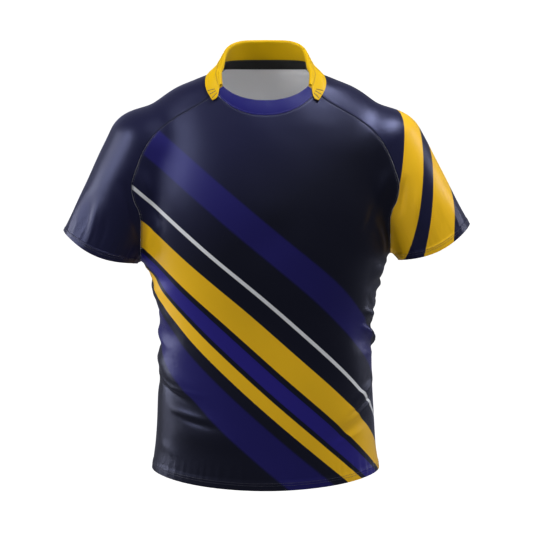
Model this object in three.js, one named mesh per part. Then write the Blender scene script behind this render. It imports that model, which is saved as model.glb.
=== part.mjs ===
import * as THREE from 'three';

// A short-sleeved rugby shirt, hollow and open, as it hangs on a standing wearer.
// Millimetres. X runs to the wearer's left, Y to the back and Z up.
// The origin lies midway between the shoulders, at the height where the cloth rests.

// Cloth
const bodyWall = 1.5;
const bandWall = 2.2;
const collarWall = 1.8;
const tapeWall = 1.0;
const seamGap = 0.3;

// Body panels
const bodyAxisY = 5;
const raysInside = 0.45;
const panelColumns = 26;
const sideRows = 14;
const sideHemHeight = -644;
const frontHemDrop = 15.5;
const backHemDrop = 4;
const frontCornerTurn = 37;
const backCornerTurn = 136;

// Raglan seams
const armpitFanHeight = -180;
const armpitFanRows = 6;
const seamRows = 9;

// Sleeves
const shoulderDome = 60;
const cuffFrontDrop = 13;
const cuffRows = 2;
const sleeveColumns = 26;

// Collar, band and tape
const collarColumns = 36;
const standParts = [0, 0.3, 0.65, 1];
const foldAngles = [45, 90, 135, 180];
const leafParts = [0.25, 0.5, 0.75, 1];
const bandParts = [0, 0.5, 1];
const footEase = 0.1;
const foldRadius = 2.6;
const leafClearance = 3.2;
const leafBulge = 2;
const bandColumns = 16;
const bandEndEase = 0.7;
const tapeStartTurn = 72;
const tapeColumns = 18;
const tapeClearance = 0.35;
const tapeBelowSeam = 14;
const tapeAboveSeam = 3;
const ridgeEase = 0.3;

// How the worn form is read: the folds' turn sees the body rounder by this share, and
// folds pass from body to sleeve over these distances.
const foldRoundness = 0.62;
const passToSleeve = -12;
const passToBody = 26;
const slopeReach = 2;
const normalReach = 1.5;

// How rays find the cloth
const rayStride = 7;
const rayFarthest = 420;
const seamStride = 6;
const seamFarthest = 300;
const rayHalvings = 20;
const turnHalvings = 40;
const seamSteps = 200;

// Rims are drawn in by no more than this share at a sharp corner.
const cornerLimit = 0.3;

// Level sections of the body. Half widths and depths are measured from its own middle line.
const bodySections = [
  { z: -700, half: 197, front: 116, back: 112, middle: 2, square: 2.1 },
  { z: -649, half: 195, front: 114, back: 110, middle: 2, square: 2.1 },
  { z: -600, half: 189, front: 111, back: 108, middle: 2, square: 2.1 },
  { z: -520, half: 184, front: 108, back: 100, middle: 2, square: 2.15 },
  { z: -440, half: 181, front: 107, back: 93, middle: 3, square: 2.2 },
  { z: -380, half: 181, front: 110, back: 94, middle: 4, square: 2.2 },
  { z: -320, half: 193, front: 117, back: 102, middle: 5, square: 2.2 },
  { z: -260, half: 206, front: 122, back: 111, middle: 6, square: 2.2 },
  { z: -200, half: 211, front: 122, back: 118, middle: 7, square: 2.25 },
  { z: -150, half: 208, front: 116, back: 120, middle: 8, square: 2.3 },
  { z: -100, half: 202, front: 105, back: 116, middle: 9, square: 2.3 },
  { z: -60, half: 196, front: 93, back: 110, middle: 10, square: 2.2 },
  { z: -32, half: 187, front: 82, back: 102, middle: 10, square: 2.1 },
  { z: -10, half: 171, front: 73, back: 94, middle: 10, square: 2.0 },
  { z: 6, half: 149, front: 66, back: 86, middle: 10, square: 2.0 },
  { z: 20, half: 116, front: 61, back: 78, middle: 10, square: 2.0 },
  { z: 32, half: 88, front: 57, back: 71, middle: 10, square: 2.0 },
  { z: 48, half: 72, front: 55, back: 66, middle: 10, square: 2.0 },
  { z: 90, half: 66, front: 53, back: 60, middle: 10, square: 2.0 },
];

// Where each upper arm holds the sleeve out: both ends of its middle line, and how far
// along that line the sleeve reaches.
const armLines = [
  { side: 1, topX: 203, topY: 4, topZ: -92, endX: 289, endY: -6, endZ: -259, sleeve: 182 },
  { side: -1, topX: -203, topY: 4, topZ: -92, endX: -282, endY: -6, endZ: -264, sleeve: 187 },
];

// Sleeve sections square to the arm, by distance from its shoulder end.
const armSections = [
  { along: 0, wide: 64, deep: 66 },
  { along: 60, wide: 65, deep: 66 },
  { along: 120, wide: 65, deep: 64 },
  { along: 190, wide: 66, deep: 61 },
  { along: 260, wide: 68, deep: 60 },
];

// Width of the soft hollow where sleeve and body run together.
const joinWidths = [
  { z: -300, join: 56 },
  { z: -265, join: 52 },
  { z: -225, join: 38 },
  { z: -130, join: 58 },
  { z: 50, join: 58 },
];

// Raglan seams seen from the front and from the back: distance from the middle by height.
const frontSeam = [
  { z: -290, x: 211 },
  { z: -240, x: 209 },
  { z: -214, x: 208 },
  { z: -199, x: 210 },
  { z: -181, x: 218 },
  { z: -161, x: 222 },
  { z: -147, x: 220 },
  { z: -125, x: 213 },
  { z: -100, x: 203 },
  { z: -77, x: 189 },
  { z: -55, x: 168 },
  { z: -37, x: 141 },
  { z: -25, x: 119 },
  { z: -10, x: 95 },
  { z: 0, x: 82 },
];
const backSeam = [
  { z: -290, x: 211 },
  { z: -240, x: 210 },
  { z: -214, x: 211 },
  { z: -180, x: 214 },
  { z: -150, x: 210 },
  { z: -100, x: 192 },
  { z: -60, x: 168 },
  { z: -32, x: 143 },
  { z: -12, x: 123 },
  { z: 6, x: 104 },
  { z: 20, x: 91 },
  { z: 34, x: 79 },
  { z: 48, x: 69 },
];

// Neck seam by turn round the neck, 0 at the front and 180 at the back.
const neckSeam = [
  { turn: 0, z: -38 },
  { turn: 8, z: -36 },
  { turn: 16, z: -29.5 },
  { turn: 24, z: -19.5 },
  { turn: 31, z: -9 },
  { turn: 37, z: 0 },
  { turn: 50, z: 16 },
  { turn: 65, z: 30 },
  { turn: 80, z: 38.5 },
  { turn: 90, z: 41.5 },
  { turn: 110, z: 45.5 },
  { turn: 136, z: 48 },
  { turn: 160, z: 49 },
  { turn: 180, z: 49 },
];

// Collar by the same turn: height of its fold, how far the stand leans in and how far the leaf
// spreads past the seam. Near its ends the leaf also sweeps forward, in degrees, and rounds out.
const collarSections = [
  { turn: 37, foldZ: 12, lean: 13, spread: 13, sweep: 5, round: 8 },
  { turn: 43, foldZ: 20, lean: 17, spread: 11.5, sweep: 4.5, round: 6.5 },
  { turn: 50, foldZ: 28, lean: 17, spread: 10, sweep: 4, round: 4.5 },
  { turn: 57, foldZ: 35, lean: 14.5, spread: 10.5, sweep: 3, round: 2 },
  { turn: 65, foldZ: 41.5, lean: 11.5, spread: 12, sweep: 2, round: 1 },
  { turn: 72, foldZ: 46, lean: 9.9, spread: 12, sweep: 0.5, round: 0 },
  { turn: 80, foldZ: 50.5, lean: 8.6, spread: 6, sweep: 0, round: 0 },
  { turn: 87, foldZ: 54.5, lean: 8, spread: 3, sweep: 0, round: 0 },
  { turn: 95, foldZ: 58.5, lean: 7.5, spread: 2, sweep: 0, round: 0 },
  { turn: 110, foldZ: 66, lean: 7.4, spread: 3, sweep: 0, round: 0 },
  { turn: 125, foldZ: 73, lean: 7.9, spread: 5, sweep: 0, round: 0 },
  { turn: 140, foldZ: 79, lean: 7.8, spread: 8, sweep: 0, round: 0 },
  { turn: 155, foldZ: 83, lean: 8.5, spread: 11, sweep: 0, round: 0 },
  { turn: 180, foldZ: 84, lean: 9, spread: 12, sweep: 0, round: 0 },
];

// Neck band by turn from the front: its height and how far it leans in.
const bandSections = [
  { turn: 0, rise: 24, lean: 14 },
  { turn: 10, rise: 22.5, lean: 14.5 },
  { turn: 20, rise: 18, lean: 15 },
  { turn: 28, rise: 13.5, lean: 15 },
  { turn: 37, rise: 9.5, lean: 13.5 },
];

// Middle of each sleeve row: where its rays start and how far its row leans from level.
const sleeveFans = [
  { part: 0.5, x: 206, y: 4, z: -96, lean: 50 },
  { part: 0.7, x: 150, y: 8, z: -75, lean: 31 },
  { part: 0.85, x: 105, y: 8, z: -52, lean: 24 },
  { part: 1, x: 60, y: 8, z: -30, lean: 20 },
];

// Large folds of the body. Turn is degrees round from the front middle, to the wearer's left.
const bodyFolds = [
  { turn: -88, z: -300, toTurn: -50, toZ: -318, wide: 13, high: -3.6 },
  { turn: -92, z: -282, toTurn: -58, toZ: -276, wide: 14, high: 3.4 },
  { turn: -96, z: -352, toTurn: -52, toZ: -380, wide: 15, high: 3.2 },
  { turn: -94, z: -384, toTurn: -46, toZ: -420, wide: 14, high: -3.4 },
  { turn: -86, z: -446, toTurn: -34, toZ: -502, wide: 16, high: 3.6 },
  { turn: -78, z: -486, toTurn: -20, toZ: -540, wide: 15, high: -3.2 },
  { turn: -60, z: -560, toTurn: -8, toZ: -585, wide: 17, high: 2.4 },
  { turn: 98, z: -398, toTurn: 52, toZ: -366, wide: 14, high: 5.2 },
  { turn: 96, z: -432, toTurn: 48, toZ: -410, wide: 14, high: -3.6 },
  { turn: 94, z: -308, toTurn: 60, toZ: -296, wide: 13, high: 3.2 },
  { turn: 92, z: -336, toTurn: 56, toZ: -326, wide: 12, high: -3.0 },
  { turn: 84, z: -490, toTurn: 40, toZ: -556, wide: 16, high: 3.4 },
  { turn: 72, z: -530, toTurn: 28, toZ: -596, wide: 15, high: -2.8 },
  { turn: 22, z: -180, toTurn: -14, toZ: -300, wide: 30, high: -2.2 },
  { turn: 150, z: -350, toTurn: 212, toZ: -372, wide: 20, high: 3.6 },
  { turn: 146, z: -400, toTurn: 206, toZ: -418, wide: 17, high: -4.0 },
  { turn: 158, z: -446, toTurn: 216, toZ: -438, wide: 18, high: 3.2 },
  { turn: 128, z: -290, toTurn: 104, toZ: -402, wide: 17, high: 3.0 },
  { turn: 232, z: -290, toTurn: 254, toZ: -396, wide: 16, high: 3.2 },
  { turn: 180, z: -150, toTurn: 178, toZ: -300, wide: 30, high: -3.0 },
];

// Large folds of the sleeves. Round is degrees from the outer side, front negative.
const sleeveFolds = [
  { side: -1, along: 36, round: -100, toAlong: 96, toRound: -142, wide: 12, high: 3.4 },
  { side: -1, along: 60, round: -82, toAlong: 130, toRound: -124, wide: 12, high: -3.0 },
  { side: -1, along: 92, round: -22, toAlong: 196, toRound: -38, wide: 13, high: 2.6 },
  { side: -1, along: 100, round: -46, toAlong: 196, toRound: -64, wide: 12, high: -2.4 },
  { side: 1, along: 50, round: -92, toAlong: 128, toRound: -136, wide: 12, high: -3.4 },
  { side: 1, along: 30, round: -108, toAlong: 96, toRound: -146, wide: 12, high: 3.0 },
  { side: 1, along: 108, round: -30, toAlong: 198, toRound: -52, wide: 13, high: 2.4 },
  { side: 1, along: 50, round: 96, toAlong: 132, toRound: 138, wide: 13, high: 3.2 },
  { side: -1, along: 50, round: 98, toAlong: 130, toRound: 140, wide: 13, high: 3.0 },
];
const bodyMillimetresPerDegree = 2.9;
const sleeveMillimetresPerDegree = 1.1;

// Table reading

function curveThrough(low, high, startSlope, endSlope, span, t) {
  const square = t * t;
  const cube = square * t;
  const fromLow = (2 * cube - 3 * square + 1) * low;
  const fromHigh = (3 * square - 2 * cube) * high;
  const fromStart = (cube - 2 * square + t) * span * startSlope;
  const fromEnd = (cube - square) * span * endSlope;
  return fromLow + fromHigh + fromStart + fromEnd;
}

function tableReader(rows, key) {
  const names = Object.keys(rows[0]).filter((name) => name !== key);
  const last = rows.length - 1;
  const slopes = rows.map((row, index) => {
    const before = rows[Math.max(index - 1, 0)];
    const after = rows[Math.min(index + 1, last)];
    const slope = {};
    for (const name of names) {
      slope[name] = (after[name] - before[name]) / (after[key] - before[key]);
    }
    return slope;
  });
  return (at) => {
    const place = Math.min(Math.max(at, rows[0][key]), rows[last][key]);
    let index = 0;
    while (index < last - 1 && place >= rows[index + 1][key]) {
      index += 1;
    }
    const low = rows[index];
    const high = rows[index + 1];
    const span = high[key] - low[key];
    const t = (place - low[key]) / span;
    const found = {};
    for (const name of names) {
      const startSlope = slopes[index][name];
      const endSlope = slopes[index + 1][name];
      found[name] = curveThrough(low[name], high[name], startSlope, endSlope, span, t);
    }
    return found;
  };
}

const bodyAt = tableReader(bodySections, 'z');
const armAt = tableReader(armSections, 'along');
const joinAt = tableReader(joinWidths, 'z');
const frontSeamAt = tableReader(frontSeam, 'z');
const backSeamAt = tableReader(backSeam, 'z');
const neckSeamAt = tableReader(neckSeam, 'turn');
const collarAt = tableReader(collarSections, 'turn');
const bandAt = tableReader(bandSections, 'turn');

// Small helpers

const radians = THREE.MathUtils.degToRad;
const degrees = THREE.MathUtils.radToDeg;
const blend = THREE.MathUtils.lerp;

function vector(x, y, z) {
  return new THREE.Vector3(x, y, z);
}

function along(start, direction, distance) {
  return start.clone().addScaledVector(direction, distance);
}

function range(count, make) {
  return Array.from({ length: count }, (unused, index) => make(index));
}

// The worn form: a number below 0 inside it, 0 on the cloth and above 0 outside

function bodyGap(x, y, z) {
  const section = bodyAt(z);
  const fromMiddle = y - section.middle;
  const depth = fromMiddle < 0 ? section.front : section.back;
  const across = Math.pow(Math.abs(x) / section.half, section.square);
  const through = Math.pow(Math.abs(fromMiddle) / depth, section.square);
  const share = Math.pow(across + through, 1 / section.square);
  return Math.hypot(x, y) * (1 - 1 / Math.max(share, 1e-6));
}

function bodyDistance(point) {
  const { x, y, z } = point;
  const rise = bodyGap(x, y, z + slopeReach) - bodyGap(x, y, z - slopeReach);
  const slope = rise / (2 * slopeReach);
  return bodyGap(x, y, z) / Math.sqrt(1 + slope * slope);
}

const arms = armLines.map((line) => {
  const top = vector(line.topX, line.topY, line.topZ);
  const end = vector(line.endX, line.endY, line.endZ);
  const axis = end.clone().sub(top).normalize();
  const outward = vector(0, 1, 0).cross(axis).normalize();
  if (outward.x * line.side < 0) {
    outward.negate();
  }
  const backward = axis.clone().cross(outward).normalize();
  if (backward.y < 0) {
    backward.negate();
  }
  return { side: line.side, top, axis, outward, backward, sleeve: line.sleeve };
});

function armOf(side) {
  return arms.find((arm) => arm.side === side);
}

function placeOnArm(point, arm) {
  const fromTop = point.clone().sub(arm.top);
  return {
    along: fromTop.dot(arm.axis),
    out: fromTop.dot(arm.outward),
    back: fromTop.dot(arm.backward),
  };
}

function armDistance(point, arm) {
  const place = placeOnArm(point, arm);
  const section = armAt(Math.max(place.along, 0));
  const above = Math.min(place.along, 0);
  const share = Math.hypot(
    place.out / section.wide,
    place.back / section.deep,
    above / shoulderDome,
  );
  const reach = Math.hypot(place.out, place.back, above);
  return reach * (1 - 1 / Math.max(share, 1e-6));
}

function foldHeight(fold, sideways, lengthways, acrossSpan, alongSpan) {
  const spanSquared = acrossSpan * acrossSpan + alongSpan * alongSpan;
  const t = (sideways * acrossSpan + lengthways * alongSpan) / spanSquared;
  if (t <= 0 || t >= 1) {
    return 0;
  }
  const off = (sideways * alongSpan - lengthways * acrossSpan) / Math.sqrt(spanSquared);
  const ends = Math.sin(Math.PI * t);
  return fold.high * Math.sqrt(ends) * ends * Math.exp(-(off * off) / (fold.wide * fold.wide));
}

function bodyFoldHeight(point) {
  const turn = degrees(Math.atan2(point.x * foldRoundness, bodyAxisY - point.y));
  let height = 0;
  for (const fold of bodyFolds) {
    const swing = THREE.MathUtils.euclideanModulo(turn - fold.turn + 180, 360) - 180;
    const sideways = swing * bodyMillimetresPerDegree;
    const acrossSpan = (fold.toTurn - fold.turn) * bodyMillimetresPerDegree;
    height += foldHeight(fold, sideways, point.z - fold.z, acrossSpan, fold.toZ - fold.z);
  }
  return height;
}

function sleeveFoldHeight(point, arm) {
  const place = placeOnArm(point, arm);
  const round = degrees(Math.atan2(place.back, place.out));
  let height = 0;
  for (const fold of sleeveFolds) {
    if (fold.side === arm.side) {
      const sideways = (round - fold.round) * sleeveMillimetresPerDegree;
      const acrossSpan = (fold.toRound - fold.round) * sleeveMillimetresPerDegree;
      const lengthways = place.along - fold.along;
      height += foldHeight(fold, sideways, lengthways, acrossSpan, fold.toAlong - fold.along);
    }
  }
  return height;
}

function clothDistance(point) {
  const arm = armOf(point.x < 0 ? -1 : 1);
  const toBody = bodyDistance(point);
  const toArm = armDistance(point, arm);
  const join = joinAt(point.z).join;
  const nearness = Math.max(join - Math.abs(toBody - toArm), 0) / join;
  const worn = Math.min(toBody, toArm) - (nearness * nearness * nearness * join) / 6;
  const bodyShare = THREE.MathUtils.smoothstep(toArm - toBody, passToSleeve, passToBody);
  const bodyPart = bodyShare > 0 ? bodyShare * bodyFoldHeight(point) : 0;
  const sleevePart = bodyShare < 1 ? (1 - bodyShare) * sleeveFoldHeight(point, arm) : 0;
  return worn - bodyPart - sleevePart;
}

function castRay(start, direction) {
  let near = 0;
  let far = rayStride;
  while (far < rayFarthest && clothDistance(along(start, direction, far)) < 0) {
    near = far;
    far += rayStride;
  }
  for (let halving = 0; halving < rayHalvings; halving += 1) {
    const middle = (near + far) / 2;
    if (clothDistance(along(start, direction, middle)) < 0) {
      near = middle;
    } else {
      far = middle;
    }
  }
  return along(start, direction, (near + far) / 2);
}

function clothNormal(point) {
  const slopeAlong = (x, y, z) => {
    const ahead = clothDistance(vector(point.x + x, point.y + y, point.z + z));
    const behind = clothDistance(vector(point.x - x, point.y - y, point.z - z));
    return ahead - behind;
  };
  const across = slopeAlong(normalReach, 0, 0);
  const through = slopeAlong(0, normalReach, 0);
  const upward = slopeAlong(0, 0, normalReach);
  return vector(across, through, upward).normalize();
}

// Points of the body, by turn round its axis and height

function bodyPoint(turn, z) {
  const sine = Math.sin(radians(turn));
  const cosine = Math.cos(radians(turn));
  const inside = raysInside * bodyAt(z).half;
  return castRay(vector(inside * sine, bodyAxisY, z), vector(sine, -cosine, 0));
}

function turnOf(point) {
  const inside = raysInside * bodyAt(point.z).half;
  const across = Math.abs(point.x);
  let low = 0;
  let high = 180;
  for (let halving = 0; halving < turnHalvings; halving += 1) {
    const middle = (low + high) / 2;
    const sine = Math.sin(radians(middle));
    const cosine = Math.cos(radians(middle));
    const off = (across - inside * sine) * cosine + (point.y - bodyAxisY) * sine;
    if (off > 0) {
      low = middle;
    } else {
      high = middle;
    }
  }
  return (low + high) / 2;
}

function hemHeight(turn) {
  const facing = Math.cos(radians(turn));
  const drop = facing > 0 ? frontHemDrop : backHemDrop;
  return sideHemHeight - drop * facing * facing;
}

function fromFront(turn) {
  return turn > 180 ? 360 - turn : Math.abs(turn);
}

function neckPoint(turn) {
  return bodyPoint(turn, neckSeamAt(fromFront(turn)).z);
}

// Raglan seams: points shared by the panels on both sides, from the armpit to the neck

function seamPoint(side, facing, start, direction) {
  const seamAt = facing < 0 ? frontSeamAt : backSeamAt;
  const place = (distance) => {
    const z = start.z + direction.z * distance;
    return vector(side * seamAt(z).x, start.y + direction.y * distance, z);
  };
  let near = 0;
  let far = seamStride;
  while (far < seamFarthest && clothDistance(place(far)) < 0) {
    near = far;
    far += seamStride;
  }
  for (let halving = 0; halving < rayHalvings; halving += 1) {
    const middle = (near + far) / 2;
    if (clothDistance(place(middle)) < 0) {
      near = middle;
    } else {
      far = middle;
    }
  }
  return place((near + far) / 2);
}

function seamPoints(side, facing) {
  const cornerTurn = facing < 0 ? frontCornerTurn : backCornerTurn;
  const corner = neckPoint(side * cornerTurn);
  const points = [];
  for (let row = 0; row < armpitFanRows; row += 1) {
    const angle = ((row / armpitFanRows) * Math.PI) / 2;
    const direction = vector(0, facing * Math.sin(angle), -Math.cos(angle));
    points.push(seamPoint(side, facing, vector(0, bodyAxisY, armpitFanHeight), direction));
  }
  const seamAt = facing < 0 ? frontSeamAt : backSeamAt;
  const heights = [armpitFanHeight];
  const lengths = [0];
  for (let step = 1; step <= seamSteps; step += 1) {
    const z = blend(armpitFanHeight, corner.z, step / seamSteps);
    const before = heights[heights.length - 1];
    const run = Math.hypot(z - before, seamAt(z).x - seamAt(before).x);
    heights.push(z);
    lengths.push(lengths[lengths.length - 1] + run);
  }
  for (let row = 0; row < seamRows; row += 1) {
    const wanted = (row / seamRows) * lengths[seamSteps];
    const index = lengths.findIndex((length) => length >= wanted);
    const start = vector(0, bodyAxisY, heights[index]);
    points.push(seamPoint(side, facing, start, vector(0, facing, 0)));
  }
  points.push(corner);
  return points;
}

const seams = {};
for (const side of [-1, 1]) {
  seams[side] = { front: seamPoints(side, -1), back: seamPoints(side, 1) };
  seams[side].back[0] = seams[side].front[0].clone();
}

// Panels as rows of points, bottom row first

function bodyPanel(facing) {
  const cornerSwing = facing < 0 ? frontCornerTurn : 180 - backCornerTurn;
  const turnAt = (swing) => (facing < 0 ? swing : 180 - swing);
  const bottomAt = (swing) => hemHeight(turnAt(swing));
  const topAt = (swing) => neckSeamAt(fromFront(turnAt(swing))).z;
  const edgeRows = (side) => {
    const seam = facing < 0 ? seams[side].front : seams[side].back;
    const lower = range(sideRows, (row) => {
      const z = blend(bottomAt(90), seam[0].z, row / sideRows);
      return bodyPoint(side * 90, z);
    });
    return lower.concat(seam).map((point) => ({
      point,
      swing: facing < 0 ? turnOf(point) : 180 - turnOf(point),
      part: (point.z - bottomAt(90)) / (topAt(cornerSwing) - bottomAt(90)),
    }));
  };
  const leftEdge = edgeRows(1);
  const rightEdge = edgeRows(-1);
  return leftEdge.map((left, row) => {
    const right = rightEdge[row];
    return range(panelColumns + 1, (column) => {
      const t = column / panelColumns;
      if (column === 0) {
        return right.point.clone();
      }
      if (column === panelColumns) {
        return left.point.clone();
      }
      const swing = blend(-right.swing, left.swing, t);
      const part = blend(right.part, left.part, t);
      const bottom = bottomAt(blend(-90, 90, t));
      const top = topAt(blend(-cornerSwing, cornerSwing, t));
      return bodyPoint(turnAt(swing), blend(bottom, top, part));
    });
  });
}

function sleeveFan(side, part, armpitAlong) {
  const arm = armOf(side);
  const lowest = along(arm.top, arm.axis, armpitAlong);
  const armLean = degrees(Math.asin(-arm.axis.z));
  const first = { part: 0, x: side * lowest.x, y: lowest.y, z: lowest.z, lean: armLean };
  const fan = tableReader([first].concat(sleeveFans), 'part')(part);
  const lean = radians(fan.lean);
  return {
    start: vector(side * fan.x, fan.y, fan.z),
    axis: vector(side * Math.cos(lean), 0, -Math.sin(lean)),
    up: vector(side * Math.sin(lean), 0, Math.cos(lean)),
  };
}

function fanPlace(fan, point) {
  const away = point.clone().sub(fan.start);
  const up = away.dot(fan.up);
  return {
    angle: Math.atan2(away.y, up),
    slant: away.dot(fan.axis) / Math.hypot(away.y, up),
  };
}

function sleevePanel(side) {
  const arm = armOf(side);
  const { front, back } = seams[side];
  const armpit = front[0];
  const armpitPlace = placeOnArm(armpit, arm);
  const armpitRound = Math.atan2(armpitPlace.back, armpitPlace.out);
  const startRound = armpitRound > 0 ? armpitRound - 2 * Math.PI : armpitRound;
  const cuffRow = (row) => range(sleeveColumns + 1, (column) => {
    const round = startRound + (2 * Math.PI * column) / sleeveColumns;
    const drop = Math.max(-Math.sin(round), 0);
    const cuffAlong = arm.sleeve + cuffFrontDrop * drop * drop;
    const place = blend(cuffAlong, armpitPlace.along, row / cuffRows);
    const direction = arm.outward.clone().multiplyScalar(Math.cos(round));
    direction.addScaledVector(arm.backward, Math.sin(round));
    return castRay(along(arm.top, arm.axis, place), direction);
  });
  const lengths = [0];
  for (let row = 1; row < front.length; row += 1) {
    lengths.push(lengths[row - 1] + front[row].distanceTo(front[row - 1]));
  }
  const total = lengths[lengths.length - 1];
  const upperRow = (row) => {
    const fan = sleeveFan(side, lengths[row] / total, armpitPlace.along);
    const ahead = fanPlace(fan, front[row]);
    const behind = fanPlace(fan, back[row]);
    if (row === 0) {
      ahead.angle = startRound;
      behind.angle = startRound + 2 * Math.PI;
    }
    return range(sleeveColumns + 1, (column) => {
      const t = (2 * column) / sleeveColumns - 1;
      if (column === 0) {
        return front[row].clone();
      }
      if (column === sleeveColumns) {
        return back[row].clone();
      }
      const fromFront = (t * t - t) / 2;
      const fromBack = (t * t + t) / 2;
      const angle = ahead.angle * fromFront + behind.angle * fromBack;
      const slant = ahead.slant * fromFront + behind.slant * fromBack;
      const direction = fan.up.clone().multiplyScalar(Math.cos(angle));
      direction.addScaledVector(vector(0, 1, 0), Math.sin(angle));
      direction.addScaledVector(fan.axis, slant).normalize();
      return castRay(fan.start, direction);
    });
  };
  const neckRow = range(sleeveColumns + 1, (column) => {
    const turn = blend(frontCornerTurn, backCornerTurn, column / sleeveColumns);
    return neckPoint(side * turn);
  });
  const rows = range(cuffRows, cuffRow);
  for (let row = 0; row < front.length - 1; row += 1) {
    rows.push(upperRow(row));
  }
  rows.push(neckRow);
  return rows;
}

// Cloth of a given wall from rows of points, closed along its rims

function rimOf(rowCount, columnCount) {
  const rim = [];
  for (let column = 0; column < columnCount; column += 1) {
    rim.push([0, column]);
  }
  for (let row = 1; row < rowCount; row += 1) {
    rim.push([row, columnCount - 1]);
  }
  for (let column = columnCount - 2; column >= 0; column -= 1) {
    rim.push([rowCount - 1, column]);
  }
  for (let row = rowCount - 2; row > 0; row -= 1) {
    rim.push([row, 0]);
  }
  return rim;
}

function drawInRim(rows, normals, distance) {
  const rim = rimOf(rows.length, rows[0].length);
  const moves = rim.map(([row, column], index) => {
    const [beforeRow, beforeColumn] = rim[(index + rim.length - 1) % rim.length];
    const [afterRow, afterColumn] = rim[(index + 1) % rim.length];
    const here = rows[row][column];
    const normal = normals[row][column];
    const inward = (from, to) => normal.clone().cross(to.clone().sub(from)).normalize();
    const first = inward(rows[beforeRow][beforeColumn], here);
    const second = inward(here, rows[afterRow][afterColumn]);
    const share = distance / Math.max(1 + first.dot(second), cornerLimit);
    return { row, column, move: first.add(second).multiplyScalar(share) };
  });
  for (const { row, column, move } of moves) {
    rows[row][column].add(move);
  }
}

function clothMesh(name, rows, normals, outward, inward, material) {
  const columnCount = rows[0].length;
  const outer = rows.map((line, row) => (
    line.map((point, column) => along(point, normals[row][column], outward))
  ));
  const inner = rows.map((line, row) => (
    line.map((point, column) => along(point, normals[row][column], -inward))
  ));
  const places = outer.flat().concat(inner.flat());
  const innerStart = rows.length * columnCount;
  const corners = [];
  for (let row = 0; row < rows.length - 1; row += 1) {
    for (let column = 0; column < columnCount - 1; column += 1) {
      const a = row * columnCount + column;
      const b = a + 1;
      const c = b + columnCount;
      const d = a + columnCount;
      corners.push(a, b, c, a, c, d);
      corners.push(innerStart + a, innerStart + c, innerStart + b);
      corners.push(innerStart + a, innerStart + d, innerStart + c);
    }
  }
  const rim = rimOf(rows.length, columnCount).map(([row, column]) => row * columnCount + column);
  rim.forEach((here, index) => {
    const next = rim[(index + 1) % rim.length];
    corners.push(here, innerStart + here, innerStart + next);
    corners.push(here, innerStart + next, next);
  });
  const geometry = new THREE.BufferGeometry();
  geometry.setFromPoints(places);
  geometry.setIndex(corners);
  geometry.computeVertexNormals();
  const mesh = new THREE.Mesh(geometry, material);
  mesh.name = name;
  return mesh;
}

// The rows run so that right, then up, then out of the cloth is a right-handed set.
function panelMesh(name, rows, material) {
  const normals = rows.map((line) => line.map(clothNormal));
  drawInRim(rows, normals, seamGap / 2);
  return clothMesh(name, rows, normals, 0, bodyWall, material);
}

// Collar, neck band and tape stand on the neck seam

function neckFrame(turn) {
  const seam = neckPoint(turn);
  const tangent = neckPoint(turn + 1).sub(neckPoint(turn - 1)).normalize();
  const normal = clothNormal(seam);
  const up = normal.clone().cross(tangent).normalize();
  const outward = vector(seam.x, seam.y, 0).normalize();
  return { seam, tangent, normal, up, outward };
}

function onCloth(point) {
  const settled = point.clone();
  for (let pass = 0; pass < 4; pass += 1) {
    settled.addScaledVector(clothNormal(settled), -clothDistance(settled));
  }
  return settled;
}

function standOf(turn, rise, lean) {
  const frame = neckFrame(turn);
  const foot = along(frame.seam, frame.normal, -bodyWall / 2);
  foot.addScaledVector(frame.up, footEase);
  const top = along(foot, frame.outward, -lean);
  top.z = foot.z + rise;
  return { ...frame, foot, top };
}

// One section of the collar: up the stand, over the fold and down the leaf.
function collarSection(turn) {
  const { foldZ, lean, spread, sweep, round } = collarAt(fromFront(turn));
  const frame = neckFrame(turn);
  const stand = standOf(turn, foldZ - foldRadius - frame.seam.z, lean);
  const points = standParts.map((part) => stand.foot.clone().lerp(stand.top, part));
  const middle = along(stand.top, frame.outward, foldRadius);
  for (const angle of foldAngles) {
    const out = -foldRadius * Math.cos(radians(angle));
    const up = foldRadius * Math.sin(radians(angle));
    points.push(along(middle, frame.outward, out).add(vector(0, 0, up)));
  }
  const ahead = neckFrame(turn < 180 ? turn - sweep : turn + sweep);
  const edge = onCloth(along(ahead.seam, ahead.up, -spread));
  edge.addScaledVector(clothNormal(edge), leafClearance + collarWall / 2);
  const leafTop = points[points.length - 1];
  const forward = frame.tangent.clone().multiplyScalar(turn < 180 ? -1 : 1);
  for (const part of leafParts) {
    const bow = Math.sin(Math.PI * part);
    const place = along(leafTop.clone().lerp(edge, part), frame.outward, leafBulge * bow);
    points.push(along(place, forward, round * bow));
  }
  return { points, footNormal: frame.normal };
}

function bandSection(turn) {
  const { rise, lean } = bandAt(Math.abs(turn));
  const stand = standOf(turn, rise, lean);
  const points = bandParts.map((part) => stand.foot.clone().lerp(stand.top, part));
  return { points, footNormal: stand.normal };
}

function tapeSection(turn) {
  const { foldZ, lean } = collarAt(fromFront(turn));
  const frame = neckFrame(turn);
  const stand = standOf(turn, foldZ - foldRadius - frame.seam.z, lean);
  const standUp = stand.top.clone().sub(stand.foot).normalize();
  const standNormal = frame.tangent.clone().cross(standUp).normalize();
  const halfTape = tapeClearance + tapeWall / 2;
  const low = onCloth(along(frame.seam, frame.up, -tapeBelowSeam));
  low.addScaledVector(clothNormal(low), -bodyWall - halfTape);
  const ridge = frame.normal.clone().add(standNormal).normalize();
  const middle = along(frame.seam, ridge, -bodyWall - halfTape - ridgeEase);
  const high = along(stand.foot, standUp, tapeAboveSeam);
  high.addScaledVector(standNormal, -collarWall / 2 - halfTape);
  return { points: [low, middle, high], footNormal: null };
}

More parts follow.
